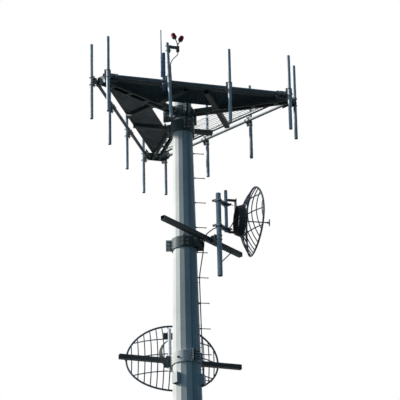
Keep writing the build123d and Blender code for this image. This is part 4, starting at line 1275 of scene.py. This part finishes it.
COAX_BENDS = (
    (0.985, -0.110, 24.610),
    (0.775, -0.180, 24.600),
    (0.600, -0.270, 24.540),
    (0.395, -0.180, 24.370),
    (0.385, -0.165, 24.100),
)
COAX_MEETS_POLE = 23.420
COAX_START = (-0.0063, 0, 0.060)
COAX_TAIL, COAX_BEND = 0.090, 0.14
PORT_ANGLE = -28.75
COAX_PLUG = [(0, 0.015), (0.030, 0.015), (0.040, 0.012)]
COAX_BOOT = [(0, 0.016), (0.020, 0.016), (0.045, 0.0125)]
CLIP_START, CLIP_SPACING, CLIP_COUNT, CLIP_RING = 0.12, 0.50, 5, 0.014
CLIP_FOOT, CLIP_FOOT_GAP, CLIP_STEM, CLIP_STEM_TOP = [(0, 0.012), (0.004, 0.012)], 0.001, 0.005, 0.012


class TOWER_OT_coax(bpy.types.Operator):
    """Run the coax jumper from the middle dish down to its port hood"""

    bl_idname = "tower.coax"
    bl_label = "Coax jumper"

    def execute(self, context):
        start = Dish("middle").vertex + Vector(COAX_START)
        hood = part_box("port_hoods")[1].z + PLATE_GAP
        low = mean([point for point in solids("coax_run")[0] if point.z < hood + NEAR])
        stand = low.xy.length - shaft_half(hood)
        high = polar(shaft_half(COAX_MEETS_POLE) + stand, PORT_ANGLE, COAX_MEETS_POLE)
        route = [start, start - RIGHT * COAX_TAIL, *(Vector(bend) for bend in COAX_BENDS), high, low]
        form = Form()
        form.sweep(rounded(route, COAX_BEND, 10), sizes().coax_radius, 16)
        form.lathe(start, -RIGHT, COAX_PLUG, 6)
        form.lathe(low, UP, COAX_BOOT, 20)
        piece(form, "coax_jumper", "jacket", "cable_jacket", "coax_run")

        form = Form()
        out, along = ways(PORT_ANGLE)
        for i in range(CLIP_COUNT):
            level = hood + CLIP_START + i * CLIP_SPACING
            at = polar(shaft_half(level) + stand, PORT_ANGLE, level)
            form.band(ring_points(at, out, along, CLIP_RING, 16), sides=6)
            foot = at - out * (stand - CLIP_FOOT_GAP)
            form.rod(foot, at - out * CLIP_STEM_TOP, CLIP_STEM, 10)
            form.lathe(foot, out, CLIP_FOOT, 16)
        piece(form, "coax_clips", "bar", "galvanised_bar")
        return {"FINISHED"}


# Stage

CAMERA_PLACE = (-14.19067203, -52.09009177, 1.33567695)
CAMERA_RIGHT = (0.96519278, -0.26081546, -0.01944734)
CAMERA_UP = (-0.08851966, -0.39573992, 0.91408653)
CAMERA_WAY = (0.24610399, 0.88054824, 0.40505261)
CAMERA_LENS = 243.0222
CAMERA_SENSOR = 36.0
CAMERA_SIGHT = 1000.0

# Lamps: name, strength, colour, angular size, azimuth and rise in degrees
LAMPS = (
    ("key", 3.9, (1.0, 0.970, 0.920), 4, 156, 27),
    ("fill", 0.70, (0.72, 0.92, 1.0), 35, 181, 20),
)
LAMP_DISTANCE = 60

# Light that the sky and the floor give to the tower; both look pale to the camera
SKY_LIGHT = (0.012, 0.060, 0.115)
FLOOR_BOUNCE = (0.020, 0.034, 0.036)
FLOOR_RADIUS = 120.0
FLOOR_DROP = 0.002


def seen(tree):
    """Socket that is 1 where a ray comes from the camera, a gloss or glass."""
    path = tree.nodes.new("ShaderNodeLightPath")
    total = path.outputs["Is Camera Ray"]
    for name in ("Is Glossy Ray", "Is Transmission Ray"):
        both = tree.nodes.new("ShaderNodeMath")
        both.operation = "MAXIMUM"
        tree.links.new(total, both.inputs[0])
        tree.links.new(path.outputs[name], both.inputs[1])
        total = both.outputs[0]
    return total


class TOWER_OT_stage(bpy.types.Operator):
    """Lay the floor and set the lamps, the sky and the camera"""

    bl_idname = "tower.stage"
    bl_label = "Stage"

    def execute(self, context):
        scene = context.scene
        scene.view_settings.view_transform = "Standard"
        self.floor(scene)
        self.lamps(scene)
        self.sky(scene)
        self.camera(scene)
        return {"FINISHED"}

    def floor(self, scene):
        mesh = bpy.data.meshes.new("floor")
        form = bmesh.new()
        bmesh.ops.create_circle(form, cap_ends=True, segments=96, radius=FLOOR_RADIUS)
        form.to_mesh(mesh)
        form.free()
        surface = Surface("Pale floor", 0.9, 0.0, 0.1)
        hue = colour("floor")
        grain = surface.remap(surface.noise(0.35, 5.0), 0.3, 0.7)
        pale = surface.mix(grain, tint(hue, 0.97), tint(hue, 1.02))
        surface.coat(surface.mix(seen(surface.tree), FLOOR_BOUNCE, pale))
        mesh.materials.append(surface.material)
        floor = bpy.data.objects.new("floor", mesh)
        floor.location.z = -FLOOR_DROP
        scene.collection.objects.link(floor)

    def lamps(self, scene):
        for name, strength, hue, spread, azimuth, rise in LAMPS:
            lamp = bpy.data.lights.new(name, "SUN")
            lamp.energy = strength
            lamp.color = hue
            lamp.angle = radians(spread)
            made = bpy.data.objects.new(name, lamp)
            tilt = radians(rise)
            to_lamp = polar(cos(tilt), azimuth, sin(tilt))
            made.rotation_euler = to_lamp.to_track_quat("Z", "Y").to_euler()
            made.location = to_lamp * LAMP_DISTANCE
            scene.collection.objects.link(made)

    def sky(self, scene):
        """White sky for the camera and in reflections, and dim blue as light."""
        world = bpy.data.worlds.new("sky")
        world.use_nodes = True
        scene.world = world
        tree = world.node_tree
        light = tree.nodes["Background"]
        light.inputs["Color"].default_value = (*SKY_LIGHT, 1)
        white = tree.nodes.new("ShaderNodeBackground")
        white.inputs["Color"].default_value = (1, 1, 1, 1)
        mix = tree.nodes.new("ShaderNodeMixShader")
        tree.links.new(seen(tree), mix.inputs["Fac"])
        tree.links.new(light.outputs["Background"], mix.inputs[1])
        tree.links.new(white.outputs["Background"], mix.inputs[2])
        tree.links.new(mix.outputs["Shader"], tree.nodes["World Output"].inputs["Surface"])

    def camera(self, scene):
        data = bpy.data.cameras.new("camera")
        data.sensor_width = CAMERA_SENSOR
        data.lens = CAMERA_LENS
        data.clip_end = CAMERA_SIGHT
        made = bpy.data.objects.new("camera", data)
        right, up, back = Vector(CAMERA_RIGHT), Vector(CAMERA_UP), -Vector(CAMERA_WAY)
        turn = Matrix((right, up, back)).transposed().to_4x4()
        made.matrix_world = Matrix.Translation(CAMERA_PLACE) @ turn
        scene.collection.objects.link(made)
        scene.camera = made


# Add-on


class TOWER_PT_panel(bpy.types.Panel):
    """Lists the tower's pieces"""

    bl_idname = "TOWER_PT_panel"
    bl_label = "Cell tower"
    bl_space_type = "VIEW_3D"
    bl_region_type = "UI"
    bl_category = "Tower"

    def draw(self, context):
        layout = self.layout
        for operator in OPERATORS:
            layout.operator(operator.bl_idname)
        for group in (context.scene.tower_sizes, context.scene.tower_colours):
            box = layout.box()
            for name in group.__annotations__:
                box.prop(group, name)


OPERATORS = (
    TOWER_OT_stage,
    TOWER_OT_pole,
    TOWER_OT_pegs,
    TOWER_OT_head,
    TOWER_OT_pipes,
    TOWER_OT_gratings,
    TOWER_OT_platform,
    TOWER_OT_light,
    TOWER_OT_whip,
    TOWER_OT_mounts,
    TOWER_OT_dishes,
    TOWER_OT_coax,
)
CLASSES = (TowerSizes, TowerColours, *OPERATORS, TOWER_PT_panel)


def register():
    for cls in CLASSES:
        bpy.utils.register_class(cls)
    bpy.types.Scene.tower_sizes = PointerProperty(type=TowerSizes)
    bpy.types.Scene.tower_colours = PointerProperty(type=TowerColours)


def unregister():
    del bpy.types.Scene.tower_colours
    del bpy.types.Scene.tower_sizes
    for cls in reversed(CLASSES):
        bpy.utils.unregister_class(cls)


def main():
    """Build every piece in order."""
    register()
    bpy.ops.tower.stage()
    bpy.ops.tower.pole()
    bpy.ops.tower.pegs()
    bpy.ops.tower.head()
    bpy.ops.tower.pipes()
    bpy.ops.tower.gratings()
    bpy.ops.tower.platform()
    bpy.ops.tower.light()
    bpy.ops.tower.whip()
    bpy.ops.tower.mounts()
    bpy.ops.tower.dishes()
    bpy.ops.tower.coax()


if __name__ == "__main__":
    main()
